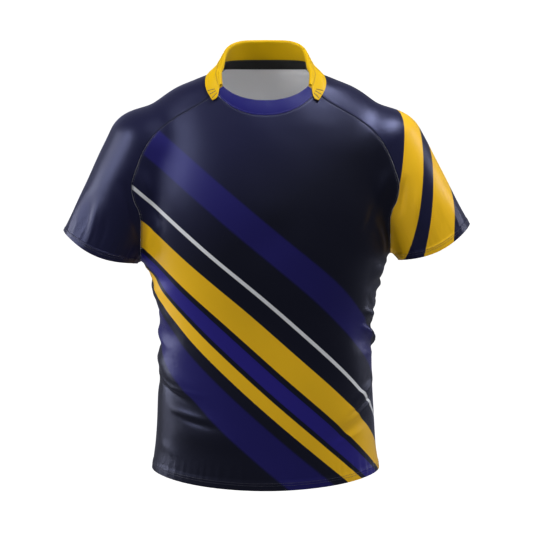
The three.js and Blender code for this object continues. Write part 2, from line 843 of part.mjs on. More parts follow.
function gridNormals(rows) {
  const lastRow = rows.length - 1;
  const lastColumn = rows[0].length - 1;
  return rows.map((line, row) => line.map((point, column) => {
    const right = rows[row][Math.min(column + 1, lastColumn)].clone();
    right.sub(rows[row][Math.max(column - 1, 0)]);
    const up = rows[Math.min(row + 1, lastRow)][column].clone();
    up.sub(rows[Math.max(row - 1, 0)][column]);
    return right.cross(up).normalize();
  }));
}

function neckPieceMesh(name, sections, wall, material) {
  const rows = sections[0].points.map((unused, row) => (
    sections.map((section) => section.points[row].clone())
  ));
  const normals = gridNormals(rows);
  sections.forEach((section, column) => {
    if (section.footNormal) {
      normals[0][column] = section.footNormal.clone();
    }
  });
  drawInRim(rows, normals, seamGap / 2);
  return clothMesh(name, rows, normals, wall / 2, wall / 2, material);
}

function turnsBetween(start, end, count) {
  return range(count + 1, (index) => blend(start, end, index / count));
}

function cloth(colour, roughness) {
  return new THREE.MeshStandardMaterial({
    color: colour,
    roughness,
    metalness: 0,
    side: THREE.DoubleSide,
  });
}

const collarTurns = turnsBetween(frontCornerTurn, 360 - frontCornerTurn, collarColumns);
const bandEndTurn = frontCornerTurn - bandEndEase;
const bandTurns = turnsBetween(-bandEndTurn, bandEndTurn, bandColumns);
const tapeTurns = turnsBetween(tapeStartTurn, 360 - tapeStartTurn, tapeColumns);
const backRows = bodyPanel(1).map((line) => line.reverse());
const rightSleeveRows = sleevePanel(-1).map((line) => line.reverse());

const group = new THREE.Group();
group.name = 'rugby_shirt';
group.add(
  panelMesh('front', bodyPanel(-1), cloth('#23233f', 0.55)),
  panelMesh('back', backRows, cloth('#23233f', 0.55)),
  panelMesh('sleeve_left', sleevePanel(1), cloth('#242443', 0.55)),
  panelMesh('sleeve_right', rightSleeveRows, cloth('#242443', 0.55)),
  neckPieceMesh('collar', collarTurns.map(collarSection), collarWall, cloth('#d9a81a', 0.6)),
  neckPieceMesh('neck_band', bandTurns.map(bandSection), bandWall, cloth('#2b2484', 0.55)),
  neckPieceMesh('neck_tape', tapeTurns.map(tapeSection), tapeWall, cloth('#0c0c10', 0.7)),
);

export default group;
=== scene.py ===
import math
import bpy
import numpy as np
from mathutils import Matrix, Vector


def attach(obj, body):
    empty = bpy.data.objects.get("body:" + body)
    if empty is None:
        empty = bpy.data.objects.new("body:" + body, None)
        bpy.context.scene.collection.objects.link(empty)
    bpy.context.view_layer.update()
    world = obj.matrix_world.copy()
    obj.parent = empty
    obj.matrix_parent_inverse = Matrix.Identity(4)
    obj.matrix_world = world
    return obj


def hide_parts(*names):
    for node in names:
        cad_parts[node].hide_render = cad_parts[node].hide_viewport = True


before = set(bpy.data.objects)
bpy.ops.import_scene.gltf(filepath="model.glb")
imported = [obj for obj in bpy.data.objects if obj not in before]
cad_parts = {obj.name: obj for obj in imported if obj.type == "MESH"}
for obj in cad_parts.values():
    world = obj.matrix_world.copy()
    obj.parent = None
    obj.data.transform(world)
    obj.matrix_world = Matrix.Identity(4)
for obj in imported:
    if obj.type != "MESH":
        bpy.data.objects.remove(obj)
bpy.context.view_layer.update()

# A worn rugby shirt, built as thin knitted cloth over its frame.
# The shape is worked out in millimetres and turned to metres as each mesh is made.

# what to change

body = dict(
    rowsPerCell=9, columnsPerCell=6,
    outside=0.25, inside=1.25,
    hemDeep=14.0, hemStep=0.75,
    hemZ=-644.0, frontDrop=15.5, backDrop=4.0,
    frontCorner=37.0, backCorner=136.0,
)
oval = dict(half=216.0, deep=118.0, top=190.0, bottom=330.0)
sleeve = dict(
    rowsPerCell=9, columnsPerCell=6,
    hemDeep=12.0, hemStep=0.7, frontDrop=13.0, dome=60.0,
)
collar = dict(columns=250, fold=2.6, wall=1.7, clear=3.2, bulge=2.0)
band = dict(columns=120, wall=2.1, endTurn=36.3)
tape = dict(columns=110, wall=0.8, startTurn=72.0, below=14.0, above=3.0)
thread = dict(length=2.5, pitch=3.1, radius=0.22)
tackThread = dict(length=1.7, pitch=1.1, radius=0.5)

# level sections of the body: height, half width, depth to the front, depth to the back,
# middle line, squareness
bodySections = np.array([
    (-700, 197, 116, 112, 2, 2.1),
    (-649, 195, 114, 110, 2, 2.1),
    (-600, 189, 111, 108, 2, 2.1),
    (-520, 184, 108, 100, 2, 2.15),
    (-440, 181, 107, 93, 3, 2.2),
    (-380, 181, 110, 94, 4, 2.2),
    (-320, 193, 117, 102, 5, 2.2),
    (-260, 206, 122, 111, 6, 2.2),
    (-200, 211, 122, 118, 7, 2.25),
    (-150, 208, 116, 120, 8, 2.3),
    (-100, 202, 105, 116, 9, 2.3),
    (-60, 196, 93, 110, 10, 2.2),
    (-32, 187, 82, 102, 10, 2.1),
    (-10, 171, 73, 94, 10, 2.0),
    (6, 149, 66, 86, 10, 2.0),
    (20, 116, 61, 78, 10, 2.0),
    (32, 88, 57, 71, 10, 2.0),
    (48, 72, 55, 66, 10, 2.0),
    (90, 66, 53, 60, 10, 2.0),
], float)

# each arm: top of its middle line, far end of it, how far along it the sleeve reaches
armLines = {
    1: ((203, 4, -92), (289, -6, -259), 182.0),
    -1: ((-203, 4, -92), (-282, -6, -264), 187.0),
}
# distance along the arm, half width, half depth
armSections = np.array([
    (0, 64, 66), (60, 65, 66), (120, 65, 64), (190, 66, 61), (260, 68, 60),
], float)
# height, how softly sleeve and body run together there
joins = np.array([(-300, 56), (-265, 52), (-225, 38), (-130, 58), (50, 58)], float)

# raglan seams: height, distance from the middle
frontSeam = np.array([
    (-290, 211), (-240, 209), (-214, 208), (-199, 210), (-181, 218), (-161, 222),
    (-147, 220), (-125, 213), (-100, 203), (-77, 189), (-55, 168), (-37, 141),
    (-25, 119), (-10, 95), (0, 82),
], float)
backSeam = np.array([
    (-290, 211), (-240, 210), (-214, 211), (-180, 214), (-150, 210), (-100, 192),
    (-60, 168), (-32, 143), (-12, 123), (6, 104), (20, 91), (34, 79), (48, 69),
], float)

# round the neck, by turn from the front: height of the seam
neckSeam = np.array([
    (0, -38), (8, -36), (16, -29.5), (24, -19.5), (31, -9), (37, 0), (50, 16), (65, 30),
    (80, 38.5), (90, 41.5), (110, 45.5), (136, 48), (160, 49), (180, 49),
], float)
# turn, height of the fold, lean of the stand, how far the leaf spreads, sweeps forward
# and rounds out in front
collarSections = np.array([
    (37, 12, 13, 13, 5, 8), (43, 20, 17, 11.5, 4.5, 6.5), (50, 28, 17, 10, 4, 4.5), (57, 35, 14.5, 10.5, 3, 2),
    (65, 41.5, 11.5, 12, 2, 1), (72, 46, 9.9, 12, 0.5, 0), (80, 50.5, 8.6, 6, 0, 0), (87, 54.5, 8, 3, 0, 0),
    (95, 58.5, 7.5, 2, 0, 0), (110, 66, 7.4, 3, 0, 0), (125, 73, 7.9, 5, 0, 0), (140, 79, 7.8, 8, 0, 0),
    (155, 83, 8.5, 11, 0, 0), (180, 84, 9, 12, 0, 0),
], float)
# turn, rise of the band, its lean
bandSections = np.array([
    (0, 24, 14), (10, 22.5, 14.5), (20, 18, 15), (28, 13.5, 15), (37, 9.5, 13.5),
], float)
# share of the seam, start of the row's rays, lean of the row
sleeveFans = [
    (0.5, 206, 4, -96, 50), (0.7, 150, 8, -75, 31), (0.85, 105, 8, -52, 24),
    (1.0, 60, 8, -30, 20),
]

# folds of the body: turn from the front middle and height of both ends, width, height
bodyFolds = [
    (-88, -300, -50, -318, 13, -3.6), (-92, -282, -58, -276, 14, 3.4),
    (-96, -352, -52, -380, 15, 3.2), (-94, -384, -46, -420, 14, -3.4),
    (-86, -446, -34, -502, 16, 3.6), (-78, -486, -20, -540, 15, -3.2),
    (-60, -560, -8, -585, 17, 2.4), (98, -398, 52, -366, 14, 5.2),
    (96, -432, 48, -410, 14, -3.6), (94, -308, 60, -296, 13, 3.2),
    (92, -336, 56, -326, 12, -3.0), (84, -490, 40, -556, 16, 3.4),
    (72, -530, 28, -596, 15, -2.8), (22, -180, -14, -300, 30, -2.2),
    (150, -350, 212, -372, 20, 3.6), (146, -400, 206, -418, 17, -4.0),
    (158, -446, 216, -438, 18, 3.2), (128, -290, 104, -402, 17, 3.0),
    (232, -290, 254, -396, 16, 3.2), (180, -150, 178, -300, 30, -3.0),
]
# finer creases, the same columns
bodyCreases = [
    # wearer's right side
    (-97, -292, -64, -306, 5.0, 1.5), (-95, -312, -70, -332, 4.5, -1.6),
    (-98, -338, -60, -352, 5.5, 1.6), (-94, -366, -66, -378, 4.5, -1.4),
    (-92, -402, -58, -432, 6.0, 1.5), (-88, -470, -46, -506, 5.0, 2.0),
    (-84, -478, -40, -520, 4.5, -1.9), (-66, -492, -30, -506, 4.5, 1.2),
    (-62, -528, -26, -548, 5.0, 1.6), (-58, -538, -20, -562, 5.0, -1.5),
    (-76, -590, -44, -610, 9.0, 0.7), (-128, -322, -56, -340, 9.0, 2.2),
    (-126, -350, -58, -372, 9.0, -2.0), (-124, -398, -60, -412, 8.0, 2.0),
    (-126, -420, -62, -432, 6.0, -2.4), (-128, -444, -56, -458, 10.0, 2.6),
    (-126, -480, -58, -500, 14.0, -1.6),
    # wearer's left side
    (99, -392, 58, -362, 4.5, 3.4), (97, -404, 56, -384, 4.0, -3.0),
    (82, -372, 60, -340, 5.0, -1.6), (96, -292, 70, -282, 5.0, 1.4),
    (95, -322, 66, -316, 4.5, -1.5), (94, -352, 70, -336, 5.0, 1.3),
    (92, -444, 62, -438, 5.5, 1.3), (88, -474, 50, -518, 5.0, 2.6),
    (80, -500, 44, -546, 5.0, -2.4), (66, -560, 34, -590, 6.0, 1.2),
    (58, -334, 124, -318, 7.0, 3.4), (58, -372, 124, -344, 6.0, 2.6),
    (60, -384, 122, -372, 8.0, -3.6), (56, -384, 124, -458, 6.0, 6.5),
    (56, -366, 124, -440, 7.0, -3.0),
    # armpits
    (66, -214, 84, -262, 6.0, -2.2), (56, -204, 74, -276, 8.0, 1.8),
    (-66, -214, -84, -262, 6.0, -2.2), (-54, -208, -74, -280, 8.0, 1.7),
    (-62, -180, -52, -236, 8.0, -1.3), (60, -176, 50, -240, 8.0, -1.3),
    # back
    (160, -372, 204, -384, 6.0, 1.9), (152, -388, 198, -404, 5.5, -1.8),
    (166, -424, 214, -418, 6.0, 1.7), (140, -340, 172, -352, 6.0, 1.5),
    (190, -340, 226, -330, 6.5, -1.5), (150, -470, 196, -462, 6.5, 1.4),
    (122, -268, 108, -352, 7.0, -1.7), (238, -268, 252, -348, 7.0, -1.7),
    (118, -300, 96, -380, 6.0, 1.6), (244, -300, 262, -372, 6.0, 1.6),
    (168, -90, 160, -210, 14.0, -1.3), (194, -90, 202, -200, 14.0, -1.2),
]
# folds of the sleeves: side, then distance along and degrees round of both ends, width, height
sleeveFolds = [
    (-1, 36, -100, 96, -142, 12, 3.4), (-1, 60, -82, 130, -124, 12, -3.0),
    (-1, 92, -22, 196, -38, 13, 2.6), (-1, 100, -46, 196, -64, 12, -2.4),
    (1, 50, -92, 128, -136, 12, -3.4), (1, 30, -108, 96, -146, 12, 3.0),
    (1, 108, -30, 198, -52, 13, 2.4), (1, 50, 96, 132, 138, 13, 3.2),
    (-1, 50, 98, 130, 140, 13, 3.0),
]
sleeveCreases = [
    (-1, 28, -92, 84, -136, 5.5, 1.8), (-1, 44, -84, 104, -132, 5.0, -1.9),
    (-1, 70, -78, 132, -116, 5.5, 1.6), (-1, 96, -100, 150, -150, 5.5, -1.6),
    (-1, 110, -16, 200, -30, 6.0, 1.2), (-1, 104, -58, 198, -74, 6.0, 1.1),
    (-1, 120, -80, 198, -98, 6.5, -1.2), (-1, 30, 88, 92, 132, 5.5, 1.7),
    (-1, 60, 84, 132, 126, 5.5, -1.7), (-1, 108, 30, 198, 46, 7.0, 1.3),
    (1, 26, -96, 88, -140, 5.5, 1.8), (1, 56, -84, 120, -126, 5.0, -2.0),
    (1, 78, -76, 148, -112, 6.0, 1.7), (1, 112, -20, 196, -36, 6.0, 1.1),
    (1, 112, -60, 194, -80, 6.5, -1.2), (1, 30, 90, 96, 136, 5.5, 1.7),
    (1, 62, 86, 130, 128, 5.5, -1.7), (1, 104, 34, 194, 52, 7.0, 1.3),
]
bodyDegree = 2.9    # millimetres of cloth for one degree round the body
sleeveDegree = 1.1  # and round the sleeve
creaseLift = 1.4    # how far the finer creases are lifted


# the worn shape

def readTable(table, at):
    # smooth curve through the rows, one result column for each column after the first
    key = table[:, 0]
    value = table[:, 1:]
    slope = np.empty_like(value)
    slope[1:-1] = (value[2:] - value[:-2]) / (key[2:] - key[:-2])[:, None]
    slope[0] = (value[1] - value[0]) / (key[1] - key[0])
    slope[-1] = (value[-1] - value[-2]) / (key[-1] - key[-2])
    place = np.clip(at, key[0], key[-1])
    i = np.clip(np.searchsorted(key, place, side="right") - 1, 0, len(key) - 2)
    span = key[i + 1] - key[i]
    t = (place - key[i]) / span
    t2, t3 = t * t, t * t * t
    low = (2 * t3 - 3 * t2 + 1)[..., None]
    high = (3 * t2 - 2 * t3)[..., None]
    start = ((t3 - 2 * t2 + t) * span)[..., None]
    end = ((t3 - t2) * span)[..., None]
    return low * value[i] + high * value[i + 1] + start * slope[i] + end * slope[i + 1]


def smoothStep(at, low, high):
    t = np.clip((at - low) / (high - low), 0, 1)
    return t * t * (3 - 2 * t)


def unit(v):
    return v / np.linalg.norm(v, axis=-1, keepdims=True)


arms = {}
for side, (top, end, reach) in armLines.items():
    top, end = np.array(top, float), np.array(end, float)
    axis = unit(end - top)
    outward = unit(np.cross((0, 1, 0), axis))
    outward = outward if outward[0] * side > 0 else -outward
    backward = unit(np.cross(axis, outward))
    backward = backward if backward[1] > 0 else -backward
    arms[side] = dict(top=top, axis=axis, outward=outward, backward=backward, reach=reach)


def bodyGap(p, dz):
    s = readTable(bodySections, p[:, 2] + dz)
    y = p[:, 1] - s[:, 3]
    deep = np.where(y < 0, s[:, 1], s[:, 2])
    share = ((np.abs(p[:, 0]) / s[:, 0]) ** s[:, 4] + (np.abs(y) / deep) ** s[:, 4]) ** (1 / s[:, 4])
    return np.hypot(p[:, 0], p[:, 1]) * (1 - 1 / np.maximum(share, 1e-6))


def placeOnArm(p, arm):
    q = p - arm["top"]
    return q @ arm["axis"], q @ arm["outward"], q @ arm["backward"]


def armGap(p, side):
    along, out, back = placeOnArm(p, arms[side])
    s = readTable(armSections, np.maximum(along, 0))
    above = np.minimum(along, 0)
    share = np.sqrt((out / s[:, 0]) ** 2 + (back / s[:, 1]) ** 2 + (above / sleeve["dome"]) ** 2)
    return np.sqrt(out ** 2 + back ** 2 + above ** 2) * (1 - 1 / np.maximum(share, 1e-6))


def foldHeights(u, v, fromU, fromV, toU, toV, wide, high, wrap, perDegree):
    # u is in degrees round, v in millimetres along
    swing = u - fromU
    if wrap:
        swing = (swing + 900) % 360 - 180
    a, b = swing * perDegree, v - fromV
    spanA, spanB = (toU - fromU) * perDegree, toV - fromV
    size = math.hypot(spanA, spanB)
    t = (a * spanA + b * spanB) / size ** 2
    off = (a * spanB - b * spanA) / size
    ends = np.sin(np.pi * np.clip(t, 0, 1))
    return high * ends ** 1.5 * np.exp(-(off / wide) ** 2)


def bodyFoldHeight(p, fine):
    turn = np.degrees(np.arctan2(p[:, 0] * 0.62, 5 - p[:, 1]))
    total = np.zeros(len(p))
    for f in bodyFolds:
        total += foldHeights(turn, p[:, 2], *f, True, bodyDegree)
    if fine:
        for f in bodyCreases:
            total += creaseLift * foldHeights(turn, p[:, 2], *f, True, bodyDegree)
        # slow unevenness of cloth that is never quite flat
        round_ = np.radians(turn)
        total += 0.5 * np.sin(round_ * 6 + p[:, 2] * 0.021) * np.sin(p[:, 2] * 0.034 + round_ * 3 + 1)
        # pucker above the stitched hem
        puckers = np.sin(round_ * 75 + 2 * np.sin(round_ * 10)) + 0.6 * np.sin(round_ * 119 + 1.3)
        total += 0.35 * puckers * np.exp(-((p[:, 2] + 634) / 16) ** 2)
    return total


def sleeveFoldHeight(p, side, fine):
    along, out, back = placeOnArm(p, arms[side])
    round_ = np.degrees(np.arctan2(back, out))
    total = np.zeros(len(p))
    for lift, folds in ((1, sleeveFolds), (creaseLift, sleeveCreases if fine else [])):
        for f in folds:
            if f[0] == side:
                lines = foldHeights(round_, along, f[2], f[1], f[4], f[3], f[5], f[6], False, sleeveDegree)
                total += lift * lines
    if fine:
        round_ = np.radians(round_)
        total += 0.4 * np.sin(round_ * 3 + along * 0.03 + side) * np.sin(along * 0.05 + 0.7)
        puckers = np.sin(round_ * 30 + 2 * np.sin(round_ * 3)) + 0.6 * np.sin(round_ * 48 + side)
        total += 0.3 * puckers * np.exp(-((along - arms[side]["reach"] + 12) / 15) ** 2)
    return total


def clothGap(p, folds=True, fine=True):
    # below 0 inside the worn form, 0 on the cloth
    slope = (bodyGap(p, 2.0) - bodyGap(p, -2.0)) / 4
    toBody = bodyGap(p, 0) / np.sqrt(1 + slope ** 2)
    toArm = np.where(p[:, 0] < 0, armGap(p, -1), armGap(p, 1))
    join = readTable(joins, p[:, 2])[:, 0]
    near = np.maximum(join - np.abs(toBody - toArm), 0) / join
    worn = np.minimum(toBody, toArm) - near ** 3 * join / 6
    if not folds:
        return worn
    share = smoothStep(toArm - toBody, -12, 26)
    onArm = np.where(p[:, 0] < 0, sleeveFoldHeight(p, -1, fine), sleeveFoldHeight(p, 1, fine))
    return worn - share * bodyFoldHeight(p, fine) - (1 - share) * onArm


def castRays(start, direction, at=None):
    # the first place where each ray leaves the form
    start = np.broadcast_to(start, direction.shape).reshape(-1, 3)
    direction = direction.reshape(-1, 3)
    place = at if at is not None else (lambda d: start + direction * d[:, None])
    count = len(direction)
    near = np.zeros(count)
    far = np.full(count, 420.0)
    found = np.zeros(count, bool)
    for step in np.arange(7.0, 420.0, 7.0):
        d = np.full(count, step)
        outside = clothGap(place(d), folds=False) > 0
        new = outside & ~found
        far[new] = step
        near[~outside & ~found] = step
        found |= outside
        if found.all():
            break
    near = np.maximum(near - 6, 0)
    far = far + 6
    for i in range(7):
        middle = (near + far) / 2
        outside = clothGap(place(middle)) > 0
        far = np.where(outside, middle, far)
        near = np.where(outside, near, middle)
    a, b = near, far
    ga, gb = clothGap(place(a)), clothGap(place(b))
    for i in range(3):
        c = np.clip(a - ga * (b - a) / np.where(np.abs(gb - ga) < 1e-9, 1e-9, gb - ga), near, far)
        gc = clothGap(place(c))
        outside = gc > 0
        b, gb = np.where(outside, c, b), np.where(outside, gc, gb)
        a, ga = np.where(outside, a, c), np.where(outside, ga, gc)
    return place(np.where(np.abs(ga) < np.abs(gb), a, b))


def clothNormals(p):
    shape = p.shape
    p = p.reshape(-1, 3)
    slopes = []
    for axis in np.eye(3) * 1.2:
        slopes.append(clothGap(p + axis) - clothGap(p - axis))
    return unit(np.stack(slopes, -1)).reshape(shape)


# points of the body, neck and seams

def bodyPoints(turn, z):
    turn, z = np.broadcast_arrays(np.radians(turn), np.asarray(z, float))
    shape = turn.shape
    turn, z = turn.ravel(), z.ravel()
    inside = 0.45 * readTable(bodySections, z)[:, 0]
    start = np.stack([inside * np.sin(turn), np.full(len(z), 5.0), z], -1)
    direction = np.stack([np.sin(turn), -np.cos(turn), np.zeros(len(z))], -1)
    return castRays(start, direction).reshape(shape + (3,))


def turnOf(p):
    inside = 0.45 * readTable(bodySections, p[:, 2])[:, 0]
    across = np.abs(p[:, 0])
    low, high = np.zeros(len(p)), np.full(len(p), np.pi)
    for i in range(40):
        middle = (low + high) / 2
        off = (across - inside * np.sin(middle)) * np.cos(middle) + (p[:, 1] - 5) * np.sin(middle)
        low = np.where(off > 0, middle, low)
        high = np.where(off > 0, high, middle)
    return np.degrees(low)


def hemHeight(turn):
    facing = np.cos(np.radians(turn))
    drop = np.where(facing > 0, body["frontDrop"], body["backDrop"])
    return body["hemZ"] - drop * facing ** 2


def fromFront(turn):
    turn = np.abs(turn)
    return np.where(turn > 180, 360 - turn, turn)


def neckHeight(turn):
    return readTable(neckSeam, fromFront(turn))[..., 0]


def neckPoints(turn):
    turn = np.atleast_1d(turn).astype(float)
    return bodyPoints(turn, neckHeight(turn))


def onCloth(p, fine=True):
    # slide points straight onto the cloth
    shape = p.shape
    p = p.reshape(-1, 3)
    n = clothNormals(p)
    for i in range(4):
        p = p - n * np.clip(clothGap(p, fine=fine), -4, 4)[:, None]
    return p.reshape(shape)


def between(grid, steps):
    # a smooth curve through the rows, with that many steps from each row to the next
    rows = len(grid)
    padded = np.concatenate([2 * grid[:1] - grid[1:2], grid, 2 * grid[-1:] - grid[-2:-1]])
    at = np.arange((rows - 1) * steps + 1) / steps
    i = np.minimum(at.astype(int), rows - 2)
    t = (at - i).reshape((-1,) + (1,) * (grid.ndim - 1))
    a, b, c, d = (padded[i + k] for k in range(4))
    return b + 0.5 * t * (c - a + t * (2 * a - 5 * b + 4 * c - d + t * (3 * (b - c) + d - a)))


def pullTo(grid, edge, cells):
    # the first row goes to the edge and the next ones follow it less and less
    gap = edge - grid[0]
    for i in range(cells):
        grid[i] += gap * (1 - i / cells) ** 2


def refine(stations, piece, first, last, bottom, top):
    rows, columns = piece["rowsPerCell"], piece["columnsPerCell"]
    grid = between(between(stations, rows).swapaxes(0, 1), columns).swapaxes(0, 1).copy()
    pullTo(grid, bottom, rows)
    pullTo(grid[::-1], top, rows)
    turned = grid.swapaxes(0, 1)
    pullTo(turned, first, columns)
    pullTo(turned[::-1], last, columns)
    grid[1:-1, 1:-1] = onCloth(grid[1:-1, 1:-1])
    return grid


def seamStations(side, facing):
    # from the armpit up to the neck, where the frame has its corners
    table = frontSeam if facing < 0 else backSeam
    cornerTurn = body["frontCorner"] if facing < 0 else body["backCorner"]
    corner = neckPoints(side * cornerTurn)[0]
    angle = np.arange(6) / 6 * np.pi / 2
    zs = np.linspace(-180, corner[2], 400)
    xs = readTable(table, zs)[:, 0]
    length = np.concatenate([[0], np.cumsum(np.hypot(np.diff(zs), np.diff(xs)))])
    up = np.interp(np.arange(9) / 9 * length[-1], length, zs)
    startZ = np.concatenate([np.full(6, -180.0), up])
    dy = np.concatenate([facing * np.sin(angle), np.full(9, float(facing))])
    dz = np.concatenate([-np.cos(angle), np.zeros(9)])

    def place(d):
        z = startZ + dz * d
        return np.stack([side * readTable(table, z)[:, 0], 5 + dy * d, z], -1)

    points = castRays(np.zeros(3), np.zeros((len(startZ), 3)), place)
    return np.concatenate([points, corner[None]])


print("finding the seams")
stations, seams = {}, {}
for side in (-1, 1):
    pair = dict(front=seamStations(side, -1), back=seamStations(side, 1))
    pair["back"][0] = pair["front"][0]
    stations[side] = pair
    seams[side] = {}
    for name in pair:
        line = between(pair[name], body["rowsPerCell"])
        line[1:-1] = onCloth(line[1:-1])
        seams[side][name] = line
    seams[side]["back"][0] = seams[side]["front"][0]


def bodyPanel(facing):
    corner = body["frontCorner"] if facing < 0 else 180 - body["backCorner"]
    turned = (lambda swing: swing) if facing < 0 else (lambda swing: 180 - swing)
    name = "front" if facing < 0 else "back"
    bottom = float(hemHeight(turned(90)))
    height = float(neckHeight(turned(corner))) - bottom
    edges, sides = {}, {}
    for side in (-1, 1):
        seam = stations[side][name]
        z = bottom + (seam[0, 2] - bottom) * np.arange(14) / 14
        points = np.concatenate([bodyPoints(np.full(14, side * 90.0), z), seam])
        swing = turnOf(points)
        swing[:15] = 90
        edges[side] = points, swing if facing < 0 else 180 - swing, (points[:, 2] - bottom) / height
        fine = seams[side][name]
        rows = 14 * body["rowsPerCell"]
        z = bottom + (fine[0, 2] - bottom) * np.arange(rows) / rows
        sides[side] = np.concatenate([bodyPoints(np.full(rows, side * 90.0), z), fine])

    def rowOf(columns):
        t = np.linspace(0, 1, columns + 1)
        hem = turned(-90 + 180 * t)
        neck = turned(corner * (2 * t - 1))
        return t, bodyPoints(hem, hemHeight(hem)), neckPoints(neck), hemHeight(hem), neckHeight(neck)

    t, hemRow, neckRow, low, high = rowOf(26)
    swing = -edges[-1][1][:, None] * (1 - t) + edges[1][1][:, None] * t
    part = edges[-1][2][:, None] * (1 - t) + edges[1][2][:, None] * t
    points = bodyPoints(turned(swing), low + (high - low) * part)
    points[:, 0], points[:, -1] = edges[-1][0], edges[1][0]
    points[-1] = neckRow
    t, hemRow, neckRow, low, high = rowOf(26 * body["columnsPerCell"])
    points = refine(points, body, sides[-1], sides[1], hemRow, neckRow)
    return points if facing < 0 else points[:, ::-1]


def sleevePanel(side):
    arm = arms[side]
    front, back = stations[side]["front"], stations[side]["back"]
    pitAlong, pitOut, pitBack = placeOnArm(front[:1], arm)
    pitAlong = float(pitAlong[0])
    startRound = math.atan2(pitBack[0], pitOut[0])
    startRound -= 2 * math.pi if startRound > 0 else 0

    def ring(share, columns):
        # rows round the arm, from the cuff at 0 to the armpit at 1
        t = np.linspace(0, 1, columns + 1)
        turn = startRound + 2 * math.pi * t
        cuff = arm["reach"] + sleeve["frontDrop"] * np.maximum(-np.sin(turn), 0) ** 2
        place = cuff * (1 - share[:, None]) + pitAlong * share[:, None]
        turn = np.broadcast_to(turn, place.shape)
        way = np.cos(turn)[..., None] * arm["outward"] + np.sin(turn)[..., None] * arm["backward"]
        start = arm["top"] + place[..., None] * arm["axis"]
        return castRays(start.reshape(-1, 3), way.reshape(-1, 3)).reshape(way.shape)

    lower = ring(np.arange(2) / 2, 26)
    # one fan of rays for each station of the seams
    length = np.concatenate([[0], np.cumsum(np.linalg.norm(np.diff(front, axis=0), axis=1))])
    low = arm["top"] + arm["axis"] * pitAlong
    armLean = math.degrees(math.asin(-arm["axis"][2]))
    fans = np.array([(0, side * low[0], low[1], low[2], armLean)] + sleeveFans, float)
    fan = readTable(fans, length / length[-1])
    start = np.stack([side * fan[:, 0], fan[:, 1], fan[:, 2]], -1)
    lean = np.radians(fan[:, 3])
    zero = np.zeros(len(lean))
    axis = np.stack([side * np.cos(lean), zero, -np.sin(lean)], -1)
    up = np.stack([side * np.sin(lean), zero, np.cos(lean)], -1)

    def fanPlace(points):
        away = points - start
        lift = (away * up).sum(-1)
        return np.arctan2(away[:, 1], lift), (away * axis).sum(-1) / np.hypot(away[:, 1], lift)

    aheadAngle, aheadSlant = fanPlace(front)
    behindAngle, behindSlant = fanPlace(back)
    aheadAngle[0], behindAngle[0] = startRound, startRound + 2 * math.pi
    t = np.linspace(0, 1, 27)
    s = 2 * t - 1
    fromAhead, fromBehind = (s * s - s) / 2, (s * s + s) / 2
    angle = aheadAngle[:, None] * fromAhead + behindAngle[:, None] * fromBehind
    slant = aheadSlant[:, None] * fromAhead + behindSlant[:, None] * fromBehind
    way = np.cos(angle)[..., None] * up[:, None] + slant[..., None] * axis[:, None]
    way[..., 1] += np.sin(angle)
    way = unit(way)
    starts = np.broadcast_to(start[:, None], way.shape)
    upper = castRays(starts.reshape(-1, 3), way.reshape(-1, 3)).reshape(way.shape)
    upper[:, 0], upper[:, -1] = front, back

    def neckRow(columns):
        t = np.linspace(0, 1, columns + 1)
        return neckPoints(side * (body["frontCorner"] + (body["backCorner"] - body["frontCorner"]) * t))

    upper[-1] = neckRow(26)
    points = np.concatenate([lower, upper])
    # the underarm seam, the cuff and the neck edge in fine steps
    rows, columns = 2 * sleeve["rowsPerCell"], 26 * sleeve["columnsPerCell"]
    underarm = ring(np.arange(rows) / rows, 1)[:, 0]
    cuffRow = ring(np.zeros(1), columns)[0]
    first = np.concatenate([underarm, seams[side]["front"]])
    last = np.concatenate([underarm, seams[side]["back"]])
    points = refine(points, sleeve, first, last, cuffRow, neckRow(columns))
    return points if side > 0 else points[:, ::-1]


# cloth meshes

def rimLoop(rows, columns):
    bottom = [(0, c) for c in range(columns)]
    right = [(r, columns - 1) for r in range(1, rows)]
    top = [(rows - 1, c) for c in range(columns - 2, -1, -1)]
    left = [(r, 0) for r in range(rows - 2, 0, -1)]
    return np.array(bottom + right + top + left)


def drawInRim(grid, normals, distance):
    loop = rimLoop(*grid.shape[:2])
    here = grid[loop[:, 0], loop[:, 1]]
    n = normals[loop[:, 0], loop[:, 1]]
    first = unit(np.cross(n, here - np.roll(here, 1, 0)))
    second = unit(np.cross(n, np.roll(here, -1, 0) - here))
    share = distance / np.maximum(1 + (first * second).sum(-1), 0.3)
    grid[loop[:, 0], loop[:, 1]] += (first + second) * share[:, None]


def edgeDistances(grid):
    # how far each point is from the bottom, top, first and last edge, along the cloth
    up = np.linalg.norm(np.diff(grid, axis=0), axis=-1)
    along = np.linalg.norm(np.diff(grid, axis=1), axis=-1)
    fromBottom = np.concatenate([np.zeros((1, grid.shape[1])), np.cumsum(up, 0)])
    fromFirst = np.concatenate([np.zeros((grid.shape[0], 1)), np.cumsum(along, 1)], 1)
    return fromBottom, fromBottom[-1:] - fromBottom, fromFirst, fromFirst[:, -1:] - fromFirst


def gridNormals(grid):
    right = np.gradient(grid, axis=1)
    up = np.gradient(grid, axis=0)
    return unit(np.cross(right, up))


